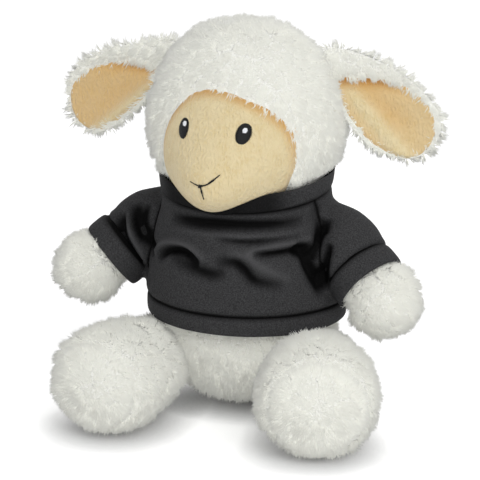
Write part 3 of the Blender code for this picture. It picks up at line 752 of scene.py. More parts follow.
def make_face():
    ring = np.repeat(np.arange(1, FACE_RINGS + 1) / FACE_RINGS, FACE_COLUMNS)
    angle = np.tile(np.arange(FACE_COLUMNS), FACE_RINGS) * math.tau / FACE_COLUMNS
    reach = np.sin(ring * math.pi / 2) * (seam_radius(angle) + FACE_TUCK_UNDER)
    reach, angle = np.append(reach, 0), np.append(angle, 0)
    points = []
    for r, a in zip(reach, angle):
        start = HEAD_CENTRE + FACE_AXIS * FAR + FACE_SIDEWAYS * r * math.cos(a) + FACE_UP * r * math.sin(a)
        hit, normal = cast(HEAD_TREE, start, -FACE_AXIS)
        to_edge = seam_radius(np.array([a]))[0] - r
        roll = 1 - smooth_step(0, FACE_ROLL_WIDTH, to_edge)
        points.append(hit - normal * (FACE_INSET + FACE_ROLL * roll**2))
    points = np.array(points)
    for start, end, depth in CREASES:
        away, share = near_line((points - HEAD_CENTRE)[:, (0, 2)] / MM, start, end)
        press = depth * MM * bell(away, CREASE_HALF) * np.sin(math.pi * (0.1 + 0.8 * share))
        points -= FACE_AXIS * press[:, None]
    faces = ring_faces(FACE_RINGS, FACE_COLUMNS) + cap(len(points) - 1, 0, FACE_COLUMNS, flipped=True)
    face = new_piece("face_velour", points, faces, VELOUR)
    # painted shadow of the hood's fur along the face's seam, strongest towards the top
    seam = 1 - smooth_step(*FACE_SHADE, seam_radius(angle) - reach)
    up_there = smooth_step(*FACE_SHADE_RISE, reach * np.sin(angle))
    tag(face, "seam", seam * (0.35 + 0.65 * up_there))
    return face


def facing(piece, direction):
    """Turns a sheet's faces to look one way."""
    with editing(piece.data) as shape:
        total = sum((f.normal * f.calc_area() for f in shape.faces), Vector())
        if total.dot(Vector(direction)) < 0:
            bmesh.ops.reverse_faces(shape, faces=shape.faces)
    return piece


def thicken(piece, thickness):
    """A sheet gets its thickness on the inner side."""
    wall = piece.modifiers.new("cloth", "SOLIDIFY")
    wall.thickness, wall.offset = thickness, -1
    return piece


def cloth_area(piece):
    return sum(face.area for face in piece.data.polygons)


def cut_from(piece, flat, area):
    """Prints a piece's area in square centimetres as cut and as its mesh measures. flat, the cloth's size in
    millimetres, is not used.
    """
    print(piece.name, "cut to", area, "cm2, measures", round(cloth_area(piece) * 1e4, 1), "cm2")


face = turn_with_head(facing(make_face(), FACE_AXIS))
thicken(face, FACE_CLOTH)
finish_piece(face, "head", replaces=("face_panel",))
cut_from(face, (86, 84), 58)

# %% [markdown]
# ## Embroidery
# Eyes, nose and mouth are thread. An eye is satin stitch: parallel threads over a little
# padding. All of it is laid out flat, in millimetres beside and above the head's centre, and
# then wrapped on the face, so that each thread follows its curve. A Geometry Nodes tree puts
# one short thread on each point of a layout and stretches it to that stitch's length.

# %% Stitches
THREAD_GIRTH = 1.2
STITCH_INPUTS = (("Layout", "Geometry"), ("Thread", "Object"), ("Finish", "Material"))


def thread_surface(share, angle):
    """One thread along X: a unit long and a unit wide, with rounded ends."""
    along = share - 0.5
    girth = 0.5 * np.sqrt(np.maximum(0.15, 1 - (2 * along) ** 4)) * ((share > 0) & (share < 1))
    return np.stack([along, girth * np.cos(angle), girth * np.sin(angle)], 1)


def make_stitch_tree():
    tree, given = new_tree("stitches", STITCH_INPUTS, "Stitches")
    points = add(tree, "GeometryNodeMeshToPoints", {"Mesh": given["Layout"]}).outputs[0]
    model = add(tree, "GeometryNodeObjectInfo", {"Object": given["Thread"], "As Instance": True})
    turn = {"Vector": named(tree, "run", "FLOAT_VECTOR")}
    turn = add(tree, "FunctionNodeAlignRotationToVector", turn, axis="X").outputs[0]
    placed = add(tree, "GeometryNodeInstanceOnPoints", {
        "Points": points, "Instance": model.outputs["Geometry"], "Rotation": turn,
        "Scale": named(tree, "size", "FLOAT_VECTOR"),
    }).outputs[0]
    real = add(tree, "GeometryNodeRealizeInstances", {"Geometry": placed}).outputs[0]
    finished = add(tree, "GeometryNodeSetMaterial", {"Geometry": real, "Material": given["Finish"]})
    add(tree, "NodeGroupOutput", {"Stitches": finished.outputs[0]})
    return tree


THREAD_MODEL, STITCH_TREE = round_form("thread_model", 6, 6, thread_surface, BLACK_THREAD), make_stitch_tree()
bpy.context.scene.collection.objects.unlink(THREAD_MODEL)


def stitches(name, rows, finish):
    """Threads from rows of start, end, thickness and height above the cloth, in millimetres."""
    rows = np.array([(*a, *b, thick * THREAD_GIRTH, lift) for a, b, thick, lift in rows])
    start, end = rows[:, :2], rows[:, 2:4]
    middle = np.column_stack([(start + end) / 2, rows[:, 5]])
    layout = new_piece(name, middle * MM, [], finish)
    run = np.column_stack([end - start, np.zeros(len(rows))])
    long = np.linalg.norm(run, axis=1)
    tag(layout, "run", run / long[:, None])
    tag(layout, "size", np.column_stack([long + rows[:, 4], rows[:, 4], rows[:, 4]]) * MM)
    mesh = grown_mesh(layout, STITCH_TREE, {"Thread": THREAD_MODEL, "Finish": finish})
    layout.data = mesh
    mesh.name = name
    return layout


def wrap_on_face(piece):
    """Lays a flat layout on the face: beside, above and out from the head's centre."""
    wrapped = []
    for x, z, out in points_of(piece):
        hit, normal = cast(HEAD_TREE, HEAD_CENTRE + (x, -FAR, z), (0, 1, 0))
        wrapped.append(hit + normal * (out - FACE_INSET))
    set_points(piece, wrapped)
    piece.data.shade_smooth()
    return turn_with_head(piece)


# %% [markdown]
# ## Eyes
# The eyes are ovals that lean a little. Threads run across them and stand highest in the
# middle, and a smaller oval of white thread is the glint on top.

# %% Eyes
EYE_HALF = {"left": (3.5, 4.95), "right": (2.9, 4.95)}
EYE_LEAN = math.radians(7)
EYES = {"left": (15.6, 5.8), "right": (-15.6, 5.8)}
GLINTS = {"left": (16.0, 7.2), "right": (-14.6, 7.9)}
EYE_THREADS, EYE_CROWN, EYE_BEND = 30, 0.75, 0.8
EYE_CORNERS = {"left": [], "right": [((-17.4, 1.6), (-19.6, 0.7), 0.4, 0.2)]}
GLINT_HALF, GLINT_THREADS, GLINT_CROWN, GLINT_LIFT = (0.95, 1.05), 5, 0.25, 0.12
THREAD_SHAKE = 0.08


def oval_rows(middle, half, threads, crown, thick, seed):
    shake = np.random.default_rng(seed)
    rows = []
    for i in range(threads):
        v = -1 + 2 * (i + 0.5) / threads
        chord = half[0] * math.sqrt(1 - v * v) + shake.uniform(-THREAD_SHAKE, THREAD_SHAKE)
        lift = crown * math.sqrt(1 - v * v)
        ends = []
        for u in (-chord, chord):
            x, z = u, v * half[1]
            ends.append((
                middle[0] + x * math.cos(EYE_LEAN) + z * math.sin(EYE_LEAN),
                middle[1] - x * math.sin(EYE_LEAN) + z * math.cos(EYE_LEAN),
            ))
        rows.append((*ends, thick, lift))
    return rows


def dome(piece, middle, half, crown):
    """Threads bend down to the cloth at both ends of an oval."""
    points = points_of(piece)
    away = np.hypot((points[:, 0] / MM - middle[0]) / half[0], (points[:, 1] / MM - middle[1]) / half[1])
    points[:, 2] -= crown * MM * (1 - np.sqrt(np.clip(1 - away**2, 0, 1))) * EYE_BEND
    set_points(piece, points)
    return piece


for side, _ in SIDES:
    rows = oval_rows(EYES[side], EYE_HALF[side], EYE_THREADS, EYE_CROWN, 0.52, 3) + EYE_CORNERS[side]
    eye = dome(stitches("eye_thread_" + side, rows, BLACK_THREAD), EYES[side], EYE_HALF[side], EYE_CROWN)
    finish_piece(wrap_on_face(eye), "head", replaces=("eye_" + side,))
    rows = oval_rows(GLINTS[side], GLINT_HALF, GLINT_THREADS, GLINT_CROWN, 0.5, 4)
    rows = [(a, b, thick, lift + EYE_CROWN + GLINT_LIFT) for a, b, thick, lift in rows]
    glint = wrap_on_face(stitches("eye_glint_thread_" + side, rows, WHITE_THREAD))
    finish_piece(glint, "head", replaces=("eye_glint_" + side,))

# %% [markdown]
# ## Nose and mouth
# The nose line is a row of long stitches that meet in a small knot, and the mouth is one
# line of back stitch that hangs from it. Each row is a start, an end, a thickness and a height.

# %% Nose and mouth
NOSE_ROWS = (
    ((-7.7, -17.0), (-5.0, -17.7), 0.4, 0.2), ((-5.2, -17.7), (-1.5, -18.5), 0.5, 0.25),
    ((-1.6, -18.5), (1.2, -17.6), 0.62, 0.3), ((0.8, -17.8), (3.1, -16.7), 0.6, 0.3),
    ((2.6, -16.9), (5.4, -14.7), 0.85, 0.35), ((5.0, -15.0), (7.8, -12.5), 0.55, 0.25),
    ((-2.2, -18.9), (-0.9, -18.0), 0.9, 0.4), ((-1.9, -17.9), (-1.1, -19.2), 0.8, 0.4),
)
MOUTH_ROWS = (
    ((-1.4, -18.8), (-0.8, -20.6), 0.55, 0.3), ((-0.9, -20.2), (-0.4, -22.0), 0.75, 0.35),
    ((-0.4, -22.3), (-0.1, -23.6), 0.5, 0.25), ((-0.1, -23.8), (0.25, -24.9), 0.5, 0.25),
)
for name, rows in (("nose", NOSE_ROWS), ("mouth", MOUTH_ROWS)):
    line = wrap_on_face(stitches(name + "_thread", rows, BLACK_THREAD))
    finish_piece(line, "head", replaces=(name + "_stitch",))
    print(line.name, len(line.data.polygons), "faces")

# %% [markdown]
# ## The ears' form
# An ear is a flat bag: plush behind and round its edge, velour in front. Its outline comes
# from a table of rows, each a distance along the ear and how far the edge lies below and
# above the line from its root. The lining has its own rows. The whole ear is cupped, and
# folds into a valley below the lining's upper edge.

# %% The ears' frames
EARS = {
    "left": dict(side=1, sweep=12, droop=43, rise=27),
    "right": dict(side=-1, sweep=12, droop=35, rise=22),
}
EAR_ROOT = 12.5 * MM
EAR_SETTLE = -0.2 * MM
EAR_CUP, EAR_HALF_WIDTH, EAR_LENGTH = 4.5 * MM, 21.5 * MM, 62 * MM


def ear_frame(side, sweep, droop, rise):
    """Along an ear, across it and out of its front, and the place where it is sewn on."""
    sweep, droop, rise = (math.radians(v) for v in (sweep, droop, rise))
    level = np.array((side * math.cos(sweep), math.sin(sweep), 0))
    along = level * math.cos(droop) - np.array((0, 0, math.sin(droop)))
    front = np.array((side * math.sin(sweep), -math.cos(sweep), 0))
    across = np.cross(front, along)
    away = level * math.cos(rise) + np.array((0, 0, math.sin(rise)))
    steep = away / (HEAD_HALF_WIDTH, HEAD_HALF_DEPTH, HEAD_RISE)
    outwards = steep - front * (steep @ front)
    outwards /= np.linalg.norm(outwards)
    share = np.array([math.acos(-away[2]) / math.pi])
    angle = np.array([math.atan2(away[1], away[0])])
    root = head_surface(share, angle)[0] + outwards * (EAR_ROOT + EAR_SETTLE)
    # across points up on the left ear and down on the right one
    return along, across * side, front, root


EAR_FRAMES = {side: ear_frame(**sizes) for side, sizes in EARS.items()}
EAR_SKIN_ROWS = {
    "left": ((-6, -5, -3), (0, -10.5, 1.5), (8, -15, 6), (16, -18.5, 9.5), (25, -21.5, 12.5), (35, -22.5, 14),
             (45, -21.5, 14.5), (53, -18.5, 13), (59, -14.5, 9), (62.8, -8.5, 3), (63.6, -5, -2)),
    "right": ((-6, -2, 1), (0, -6.5, 5.5), (8, -10, 9), (18, -12.5, 13), (28, -15, 16.5), (40, -16.5, 18.5),
              (52, -17, 18.5), (60, -14.5, 14.5), (65, -10, 9.5), (68, -4.5, 3.5), (68.5, -2, 0)),
}
EAR_LINING_ROWS = {
    "left": ((7, -13.5, -9.5), (13, -17, -4.5), (18, -18.5, 0.5), (24, -20.5, 5.5), (31, -21.5, 10),
             (39, -22, 12.5), (47, -20.5, 13), (54, -18, 10.5), (60, -13.5, 5), (62.5, -8, -2)),
    "right": ((14, -10, -1), (18, -12, 3.5), (23, -13.5, 7), (28, -14.5, 10), (34, -15.5, 12.5),
              (40, -16, 15), (47, -16.5, 16), (55, -16, 15.5), (61.5, -13.5, 12.5), (65.5, -9.5, 8),
              (68, -4, 2)),
}
EAR_FRONT_DEPTH, EAR_BACK_DEPTH = 0.8 * MM, 4.2 * MM
VALLEY_DEPTH, VALLEY_HALF, VALLEY_BELOW = 3.2 * MM, 4.5 * MM, 3 * MM
VALLEY_START, VALLEY_END = (-4 * MM, 8 * MM), (20 * MM, 50 * MM)


def ear_valley(side, along_it, sideways):
    """How much of the fold beside the lining's upper edge a place has."""
    rows = np.array(EAR_LINING_ROWS[side]) * MM
    fold_line = np.interp(along_it, rows[:, 0], rows[:, 2]) - VALLEY_BELOW
    fade = smooth_step(*VALLEY_START, along_it) * (1 - smooth_step(*VALLEY_END, along_it))
    return bell(fold_line - sideways, VALLEY_HALF) * fade


def ear_cup(side, along_it, sideways):
    cup = EAR_CUP * ((sideways / EAR_HALF_WIDTH) ** 2 + (along_it / EAR_LENGTH) ** 2)
    return cup - VALLEY_DEPTH * ear_valley(side, along_it, sideways)


def ear_sheet(side, along_it, sideways, depth):
    """A place on or beside the cupped middle sheet of an ear."""
    along, across, front, root = EAR_FRAMES[side]
    start = root - along * EAR_ROOT
    out = depth + ear_cup(side, along_it, sideways)
    return start + np.outer(along_it, along) + np.outer(sideways, across) + np.outer(out, front)


def ear_skin_place(side):
    def place(share, angle):
        distance, low, high = smooth_row(EAR_SKIN_ROWS[side], share).T * MM
        half = np.maximum(high - low, 0) / 2
        half = half * np.where((share <= 0) | (share >= 1), 0, 1)
        sideways = (low + high) / 2 + half * np.cos(angle)
        depth = np.sin(angle) * np.sqrt(half / EAR_HALF_WIDTH)
        depth = depth * np.where(depth > 0, EAR_FRONT_DEPTH, EAR_BACK_DEPTH)
        return ear_sheet(side, distance, sideways, depth)
    return place


def lining_span(side, distance):
    """How far below and above its line the lining reaches at a distance along the ear."""
    rows = np.array(EAR_LINING_ROWS[side]) * MM
    low = np.interp(distance, rows[:, 0], rows[:, 1], left=1, right=1)
    high = np.interp(distance, rows[:, 0], rows[:, 2], left=-1, right=-1)
    return low, high


def ear_places(side, points):
    """Distance along, sideways and depth of points, from the ear's own start."""
    along, across, front, root = EAR_FRAMES[side]
    away = points - (root - along * EAR_ROOT)
    sideways, distance = away @ across, away @ along
    return distance, sideways, away @ front - ear_cup(side, distance, sideways)


# %% [markdown]
# ## Linings and pile of the ears
# The velour lining is sewn on the ear's front, a little lower than the pile. A low ridge
# runs along its middle beside a shallow basin. The ear's own skin lies deeper and bare
# under it. Ears bend at their root.

# %% Ear linings and ear pile
LINING_ROWS, LINING_COLUMNS = 44, 30
LINING_LIFT, LINING_EDGE, LINING_CLOTH = 1.3 * MM, 1.6 * MM, 0.8 * MM
RIDGE_HEIGHT, RIDGE_HALF, RIDGE_START = 1.8 * MM, 3.5 * MM, (10 * MM, 25 * MM)
BASIN_DEPTH, BASIN_HALF, BASIN_SHARES = 0.9 * MM, 6 * MM, {"left": 1, "right": 0.3}
BASIN_START, BASIN_END = (8 * MM, 20 * MM), (38 * MM, 56 * MM)
LINING_DEPTH = {"left": 0.3, "right": 0.5}


def make_lining(side):
    share = np.repeat(np.arange(LINING_ROWS) / (LINING_ROWS - 1), LINING_COLUMNS)
    t = np.tile(np.arange(LINING_COLUMNS) / (LINING_COLUMNS - 1), LINING_ROWS)
    distance, low, high = smooth_row(EAR_LINING_ROWS[side], share).T * MM
    sideways = low + (high - low) * t
    to_edge = np.minimum(np.minimum(t, 1 - t) * (high - low), np.minimum(share, 1 - share) * EAR_LENGTH)
    edge = 1 - smooth_step(0, 4 * MM, to_edge)
    valley = ear_valley(side, distance, sideways)
    ridge_line = -10 * MM - 4 * MM * (distance - 13 * MM) / (43 * MM)
    ridge = bell(sideways - ridge_line, RIDGE_HALF) * smooth_step(*RIDGE_START, distance)
    basin = bell(sideways + 5 * MM, BASIN_HALF) * smooth_step(*BASIN_START, distance)
    basin *= (1 - smooth_step(*BASIN_END, distance)) * BASIN_SHARES[side]
    depth = LINING_LIFT - LINING_EDGE * edge**2 + RIDGE_HEIGHT * ridge * (1 - edge) - BASIN_DEPTH * basin
    points = ear_sheet(side, distance, sideways, depth)
    corners = [i * LINING_COLUMNS + j for i in range(LINING_ROWS - 1) for j in range(LINING_COLUMNS - 1)]
    faces = [(at, at + 1, at + LINING_COLUMNS + 1, at + LINING_COLUMNS) for at in corners]
    lining = new_piece("ear_lining_velour_" + side, points, faces, VELOUR)
    # painted shade at the edges, in the valley and the basin, and a painted highlight on the ridge, over a
    # deeper tone for each ear
    lining_shade_and_tone = LINING_DEPTH[side] + edge * 0.25 + valley * 0.5 + basin * 0.25 - ridge * 0.5
    tag(lining, "seam", np.clip(lining_shade_and_tone, 0, 1))
    # painted shade deep in the valley
    tag(lining, "painted_shade", valley**3 * 0.9)
    return lining


for side, _ in SIDES:
    along, _, front, root = EAR_FRAMES[side]
    skin = round_form("ear_skin_" + side, 64, 60, ear_skin_place(side), SKIN)
    on_ear = points_of(skin)
    distance, sideways, depth = ear_places(side, on_ear)
    low, high = lining_span(side, distance)
    inside = np.minimum(sideways - low, high - sideways)
    covered = smooth_step(0.5 * MM, 2 * MM, inside) * (depth > -0.2 * MM)
    tag(skin, "pile", 1 - covered)
    sunk = 2 * MM * smooth_step(1 * MM, 5 * MM, inside) * (depth > -0.2 * MM)
    set_points(skin, on_ear - np.outer(sunk, front))
    tag(skin, "pile_length", 0.85 + 0.35 * smooth_step(0, 4 * MM, sideways - high))
    comb = combed(on_ear, normals_of(skin), along * 0.6, 18 * MM, 21)
    tag(turn_with_head(skin), "comb", comb @ np.array(HEAD_TURN)[:3, :3].T)
    pile = grow_pile("ear_pile_" + side, skin, 31, density=3.4, length=4.6, width=0.5, curl_size=5.0,
                     curl=1.0, comb=0.45)
    lining = thicken(turn_with_head(facing(make_lining(side), front)), LINING_CLOTH)
    root_end = turned(np.array([root - along * EAR_ROOT, root]))
    bend = ("head", "ear_" + side, *map(tuple, root_end))
    finish_piece(skin, bend=bend, replaces=("ear_back_" + side,))
    finish_piece(pile, bend=bend)
    finish_piece(lining, bend=bend, replaces=("ear_lining_" + side,))
    cut_from(lining, (58, 36), 15)

# %% [markdown]
# ## Body, arms and legs
# Each is a stuffed sock of the same plush as the hood. Their girths come from short tables,
# and the pile starts only where the shirt ends, since nobody sees the rest. The pile of the
# body falls straight down, that of a leg runs down and forwards to the foot, and that of an
# arm runs to the tip of its paw.

# %% The body
TORSO_HEIGHT, TORSO_HALF_WIDTH, TORSO_HALF_DEPTH = 100.5 * MM, 45.5 * MM, 40 * MM
TORSO_OUTLINE = (
    (-0.008, 0), (-0.005, 0.38), (0.03, 0.60), (0.12, 0.81), (0.27, 0.97), (0.43, 1), (0.60, 0.95),
    (0.76, 0.84), (0.88, 0.69), (0.96, 0.47), (1, 0),
)
SEAT_BACK, SEAT_BACK_HEIGHT = 14 * MM, 45 * MM
SKIN_DEPTH, SKIN_LUMPS, SKIN_LOWEST = 2.7 * MM, 1.0 * MM, 0.6 * MM
SEAT_BARE, SHIRT_HIDES = (1 * MM, 3 * MM), (54 * MM, 58 * MM)


def torso_surface(share, angle):
    height, girth = smooth_row(TORSO_OUTLINE, share).T
    height, girth = height * TORSO_HEIGHT, np.maximum(girth, 0)
    back = SEAT_BACK * np.maximum(0, 1 - np.maximum(height, 0) / SEAT_BACK_HEIGHT) ** 2
    return np.stack([
        TORSO_HALF_WIDTH * girth * np.cos(angle), back + TORSO_HALF_DEPTH * girth * np.sin(angle), height,
    ], 1)


def dress(skin, seed, keep, length=1.0, pull=(0, 0, -1.0)):
    """Sinks a skin by its pile's depth and tags it for the pile."""
    points = points_of(skin)
    tag(skin, "pile", keep)
    tag(skin, "pile_length", np.broadcast_to(length, len(points)))
    grow(skin, lumps(points, 12 * MM, seed) * SKIN_LUMPS - SKIN_DEPTH)
    points = points_of(skin)
    points[:, 2] = np.maximum(points[:, 2], SKIN_LOWEST)
    set_points(skin, points)
    tag(skin, "comb", combed(points, normals_of(skin), pull, 20 * MM, seed, 0.9))


torso = round_form("body_skin", 96, 72, torso_surface, SKIN)
height = points_of(torso)[:, 2]
dress(torso, 41, (1 - smooth_step(*SHIRT_HIDES, height)) * smooth_step(*SEAT_BARE, height))
pile = grow_pile("body_pile", torso, 42, density=2.3, length=4.4, width=0.65)
finish_piece(pile, "torso")
stands_for = ("torso_cover", "torso_stuffing", "bean_pouch")
finish_piece(torso, "torso", replaces=stands_for)

# %% [markdown]
# ## Arms
# An arm is a sock that widens to the paw. Its pile starts inside the cuff, so that the
# cuff's edge presses into it.

# %% Arms
SHOULDER = np.array((40, 3, 88.5)) * MM
ARM_FORWARD, ARM_DROPS = math.radians(27), {"left": math.radians(32), "right": math.radians(26)}
ARM_LENGTH, ARM_RADIUS = 64.5 * MM, 14.4 * MM
ARM_OUTLINE = (
    (-0.226, 0), (-0.21, 0.40), (-0.13, 0.72), (0, 0.85), (0.18, 0.87), (0.38, 0.96), (0.55, 1.03),
    (0.64, 1.20), (0.74, 1.267), (0.84, 1.14), (0.93, 0.80), (0.985, 0.38), (1, 0),
)
CUFF_END = 35.8 * MM


def side_axes(direction):
    across = np.cross(direction, (0, 0, 1))
    across /= np.linalg.norm(across)
    return across, np.cross(across, direction)


def limb_surface(start, direction, length, radius, outline):
    across, up = side_axes(direction)

    def place(share, angle):
        along, girth = smooth_row(outline, share).T
        girth = np.maximum(girth, 0) * radius
        middle = start + np.outer(along * length, direction)
        return middle + np.outer(girth * np.cos(angle), across) + np.outer(girth * np.sin(angle), up)
    return place


def arm_line(side, sign):
    """Where an arm starts and which way it points."""
    level = np.array((sign * math.cos(ARM_FORWARD), -math.sin(ARM_FORWARD), 0))
    drop = ARM_DROPS[side]
    return SHOULDER * (sign, 1, 1), level * math.cos(drop) - np.array((0, 0, math.sin(drop)))


for side, sign in SIDES:
    shoulder, way = arm_line(side, sign)
    surface = limb_surface(shoulder, way, ARM_LENGTH, ARM_RADIUS, ARM_OUTLINE)
    skin = round_form("arm_skin_" + side, 56, 64, surface, SKIN)
    along = (points_of(skin) - shoulder) @ way
    dress(skin, 50 + sign, smooth_step(CUFF_END - 6 * MM, CUFF_END - 4 * MM, along), 1.0, way * 1.2)
    pile = grow_pile("arm_pile_" + side, skin, 52, density=3.6, length=4.8, width=0.58)
    finish_piece(pile, "arm_" + side)
    stands_for = ("arm_cover_" + side, "arm_stuffing_" + side)
    finish_piece(skin, "arm_" + side, replaces=stands_for)

# %% [markdown]
# ## Legs
# A leg is a wide sock closed by a round sole. The seam between them is drawn in, and the
# pile is shorter there. The sole's pile turns outwards from its middle.

# %% Legs and soles
HIP = np.array((40, -12, 28)) * MM
LEG_SPLAYS = {"left": math.radians(17), "right": math.radians(12)}
LEG_LENGTH, LEG_RADIUS, SOLE_SEAM = 76 * MM, 29.2 * MM, 0.86
LEG_GIRTHS = {"left": (1.0, 0.965), "right": (0.96, 0.935)}
LEG_OUTLINE = (
    (-0.27, 0), (-0.25, 0.27), (-0.16, 0.50), (0, 0.645), (0.20, 0.80), (0.40, 0.93), (0.58, 1),
    (0.74, 0.99), (0.86, 0.87), (0.94, 0.63), (0.985, 0.32), (1, 0),
)
SEAM_GROOVE, SEAM_GROOVE_HALF, SEAM_GAP = 1.6 * MM, 2.2 * MM, 0.1 * MM
LEG_BLEND = (-10 * MM, 20 * MM)


def bisect(shape, place, normal, **settings):
    settings.update(plane_co=Vector(place), plane_no=Vector(normal))
    bmesh.ops.bisect_plane(shape, geom=shape.verts[:] + shape.edges[:] + shape.faces[:], **settings)


def cut(piece, name, place, normal):
    """A copy that keeps what lies behind a plane, closed there."""
    copy = new_object(name, piece.data.copy())
    with editing(copy.data) as shape:
        bisect(shape, place, normal, clear_outer=True)
        edges = [e for e in shape.edges if e.is_boundary]
        bmesh.ops.triangle_fill(shape, edges=edges, use_beauty=True)
        bmesh.ops.recalc_face_normals(shape, faces=shape.faces)
    return copy


for side, sign in SIDES:
    hip, splay = HIP * (sign, 1, 1), LEG_SPLAYS[side]
    way = np.array((sign * math.sin(splay), -math.cos(splay), 0))
    girth, settled = LEG_GIRTHS[side]
    surface = limb_surface(hip, way, LEG_LENGTH, LEG_RADIUS * girth, LEG_OUTLINE)
    form = round_form("leg", 88, 80, surface, SKIN)
    set_points(form, points_of(form) * (1, 1, settled))
    at_seam = (points_of(form) - hip) @ way - SOLE_SEAM * LEG_LENGTH
    groove = bell(at_seam, SEAM_GROOVE_HALF)
    out = points_of(form) - hip
    out -= np.outer(out @ way, way)
    sole_part = smooth_step(-0.5 * MM, 0.5 * MM, at_seam)[:, None]
    pull = (way * 0.8 + np.array((0, 0, -0.7))) * (1 - sole_part) + unit_rows(out) * 1.4 * sole_part
    grow(form, -SEAM_GROOVE * groove)
    dress(form, 60 + sign, np.where(points_of(form)[:, 2] < 1.5 * MM, 0.3, 1.0), 1 - 0.35 * groove, pull)
    seam_place = hip + way * SOLE_SEAM * LEG_LENGTH
    leg = cut(form, "leg_skin_" + side, seam_place, way)
    sole = cut(form, "sole_skin_" + side, seam_place + way * SEAM_GAP, -way)
    bpy.data.objects.remove(form)
    bend = ("torso", "leg_" + side, *(tuple(hip + way * reach) for reach in LEG_BLEND))
    pile = grow_pile("leg_pile_" + side, leg, 62, density=2.4, length=4.6, width=0.68)
    finish_piece(pile, bend=bend)
    pile = grow_pile("sole_pile_" + side, sole, 63, density=3.6, length=4.6, width=0.6)
    finish_piece(pile, "leg_" + side)
    stands_for = ("leg_cover_" + side, "leg_stuffing_" + side)
    finish_piece(leg, bend=bend, replaces=stands_for)
    finish_piece(sole, "leg_" + side, replaces=("sole_panel_" + side,))

# %% [markdown]
# ## The shirt's form
# The shirt is cut as a front, a back and two raglan sleeves, whose seams run from the neck
# to the armpits. Cloth that thin is easiest to shape in one piece: a tube for the body and
# one for each sleeve are merged by a voxel remesh, which rounds the corners where they meet,
# and the skin is then relaxed. The seams are cut last, so that the cloth runs on through
# them.

# %% Tubes for the shirt
HEM_BOTTOM, HEM_TOP, SHIRT_TOP = 47.8 * MM, 57.5 * MM, 103 * MM
SHIRT_HALF_WIDTH, SHIRT_HALF_DEPTH = 50.4 * MM, 45.4 * MM
SHIRT_OUTLINE = ((0.985, 0.985), (1, 1), (0.985, 0.985), (0.95, 0.965), (0.90, 0.935), (0.835, 0.925))
SHIRT_OUTLINE_SHARES = (0, 0.18, 0.42, 0.65, 0.85, 1)
SLEEVE_PATH = ((-16, 15.5), (-6, 16.5), (3, 17.8), (11, 18.7), (19, 18.3), (26, 17.0), (33, 16.6), (40, 16.6))
SLEEVE_BEND = (2 * MM, 17 * MM)
SLEEVE_PUFF, SLEEVE_PUFF_ENDS = 3.6 * MM, (-4, 30)
CUFF_TILT = {"left": math.radians(6), "right": math.radians(12)}
CUFF_START, CUFF_RADIUS, CUFF_RISE = 24.5 * MM, 17.8 * MM, 1.6 * MM
SHIRT_ROWS, SHIRT_COLUMNS, SLEEVE_ROWS, SLEEVE_COLUMNS = 50, 120, 60, 64
VOXEL, RELAX_ROUNDS = 1.15 * MM, 16


def shirt_ring(height):
    """Half width and half depth of the shirt at heights."""
    share = (np.asarray(height, float) - HEM_TOP) / (SHIRT_TOP - HEM_TOP)
    index = np.interp(share, SHIRT_OUTLINE_SHARES, np.arange(len(SHIRT_OUTLINE)))
    wide, deep = smooth_row(SHIRT_OUTLINE, np.atleast_1d(index) / (len(SHIRT_OUTLINE) - 1)).T
    return SHIRT_HALF_WIDTH * wide, SHIRT_HALF_DEPTH * deep


def capped_tube(rings):
    """Points and faces of a tube of rings, closed at both ends."""
    rows, columns = rings.shape[:2]
    points = np.vstack([rings.reshape(-1, 3), rings[0].mean(0), rings[-1].mean(0)])
    tip = rows * columns
    faces = ring_faces(rows, columns) + cap(tip, 0, columns, flipped=True)
    return points, faces + cap(tip + 1, (rows - 1) * columns, columns)


def body_tube():
    heights = np.linspace(HEM_BOTTOM - 4 * MM, NECK_HEIGHT + 15 * MM, SHIRT_ROWS)
    angle = np.arange(SHIRT_COLUMNS) * math.tau / SHIRT_COLUMNS
    wide, deep = shirt_ring(heights)
    return capped_tube(np.stack([
        np.outer(wide, np.cos(angle)), np.outer(deep, np.sin(angle)), np.outer(heights, np.ones_like(angle)),
    ], 2))


def spokes(angle, way):
    """Directions square to an axis at angles round it."""
    level, upright = side_axes(way)
    return np.outer(np.cos(angle), level) + np.outer(np.sin(angle), upright)


def sleeve_tube(side, sign):
    """A sleeve leaves the body level and bends to follow the arm."""
    shoulder, way = arm_line(side, sign)
    outwards = np.array((sign, 0.0, 0))
    table = np.array(SLEEVE_PATH) * MM
    angle = np.arange(SLEEVE_COLUMNS) * math.tau / SLEEVE_COLUMNS
    rings = []
    for distance in np.linspace(table[0, 0], table[-1, 0], SLEEVE_ROWS):
        bend = float(smooth_step(*SLEEVE_BEND, np.array(distance)))
        facing_way = outwards * (1 - bend) + way * bend
        facing_way /= np.linalg.norm(facing_way)
        centre = shoulder + (outwards if distance < 0 else way) * distance
        at = (distance / MM - SLEEVE_PUFF_ENDS[0]) / (SLEEVE_PUFF_ENDS[1] - SLEEVE_PUFF_ENDS[0])
        puff = SLEEVE_PUFF * math.sin(math.pi * min(max(at, 0), 1)) * np.clip(np.sin(angle), 0, 1)
        radius = (np.interp(distance, table[:, 0], table[:, 1]) + puff)[:, None]
        rings.append(centre + radius * spokes(angle, facing_way))
    return capped_tube(np.array(rings))


def cuff_frame(side, sign):
    """The middle of a cuff's seam and the way the cuff faces, a little lower than the arm."""
    shoulder, way = arm_line(side, sign)
    _, upright = side_axes(way)
    tilt = CUFF_TILT[side]
    return shoulder + way * CUFF_START + upright * CUFF_RISE, way * math.cos(tilt) - upright * math.sin(tilt)


def relax(piece, rounds):
    """Moves each point halfway to the middle of its neighbours, some rounds over."""
    edges = np.empty(len(piece.data.edges) * 2, np.int64)
    piece.data.edges.foreach_get("vertices", edges)
    edges, points = edges.reshape(-1, 2), points_of(piece)
    count = np.zeros(len(points))
    np.add.at(count, edges.ravel(), 1)
    for _ in range(rounds):
        total = np.zeros_like(points)
        np.add.at(total, edges[:, 0], points[edges[:, 1]])
        np.add.at(total, edges[:, 1], points[edges[:, 0]])
        points = points * 0.5 + total / count[:, None] * 0.5
    set_points(piece, points)


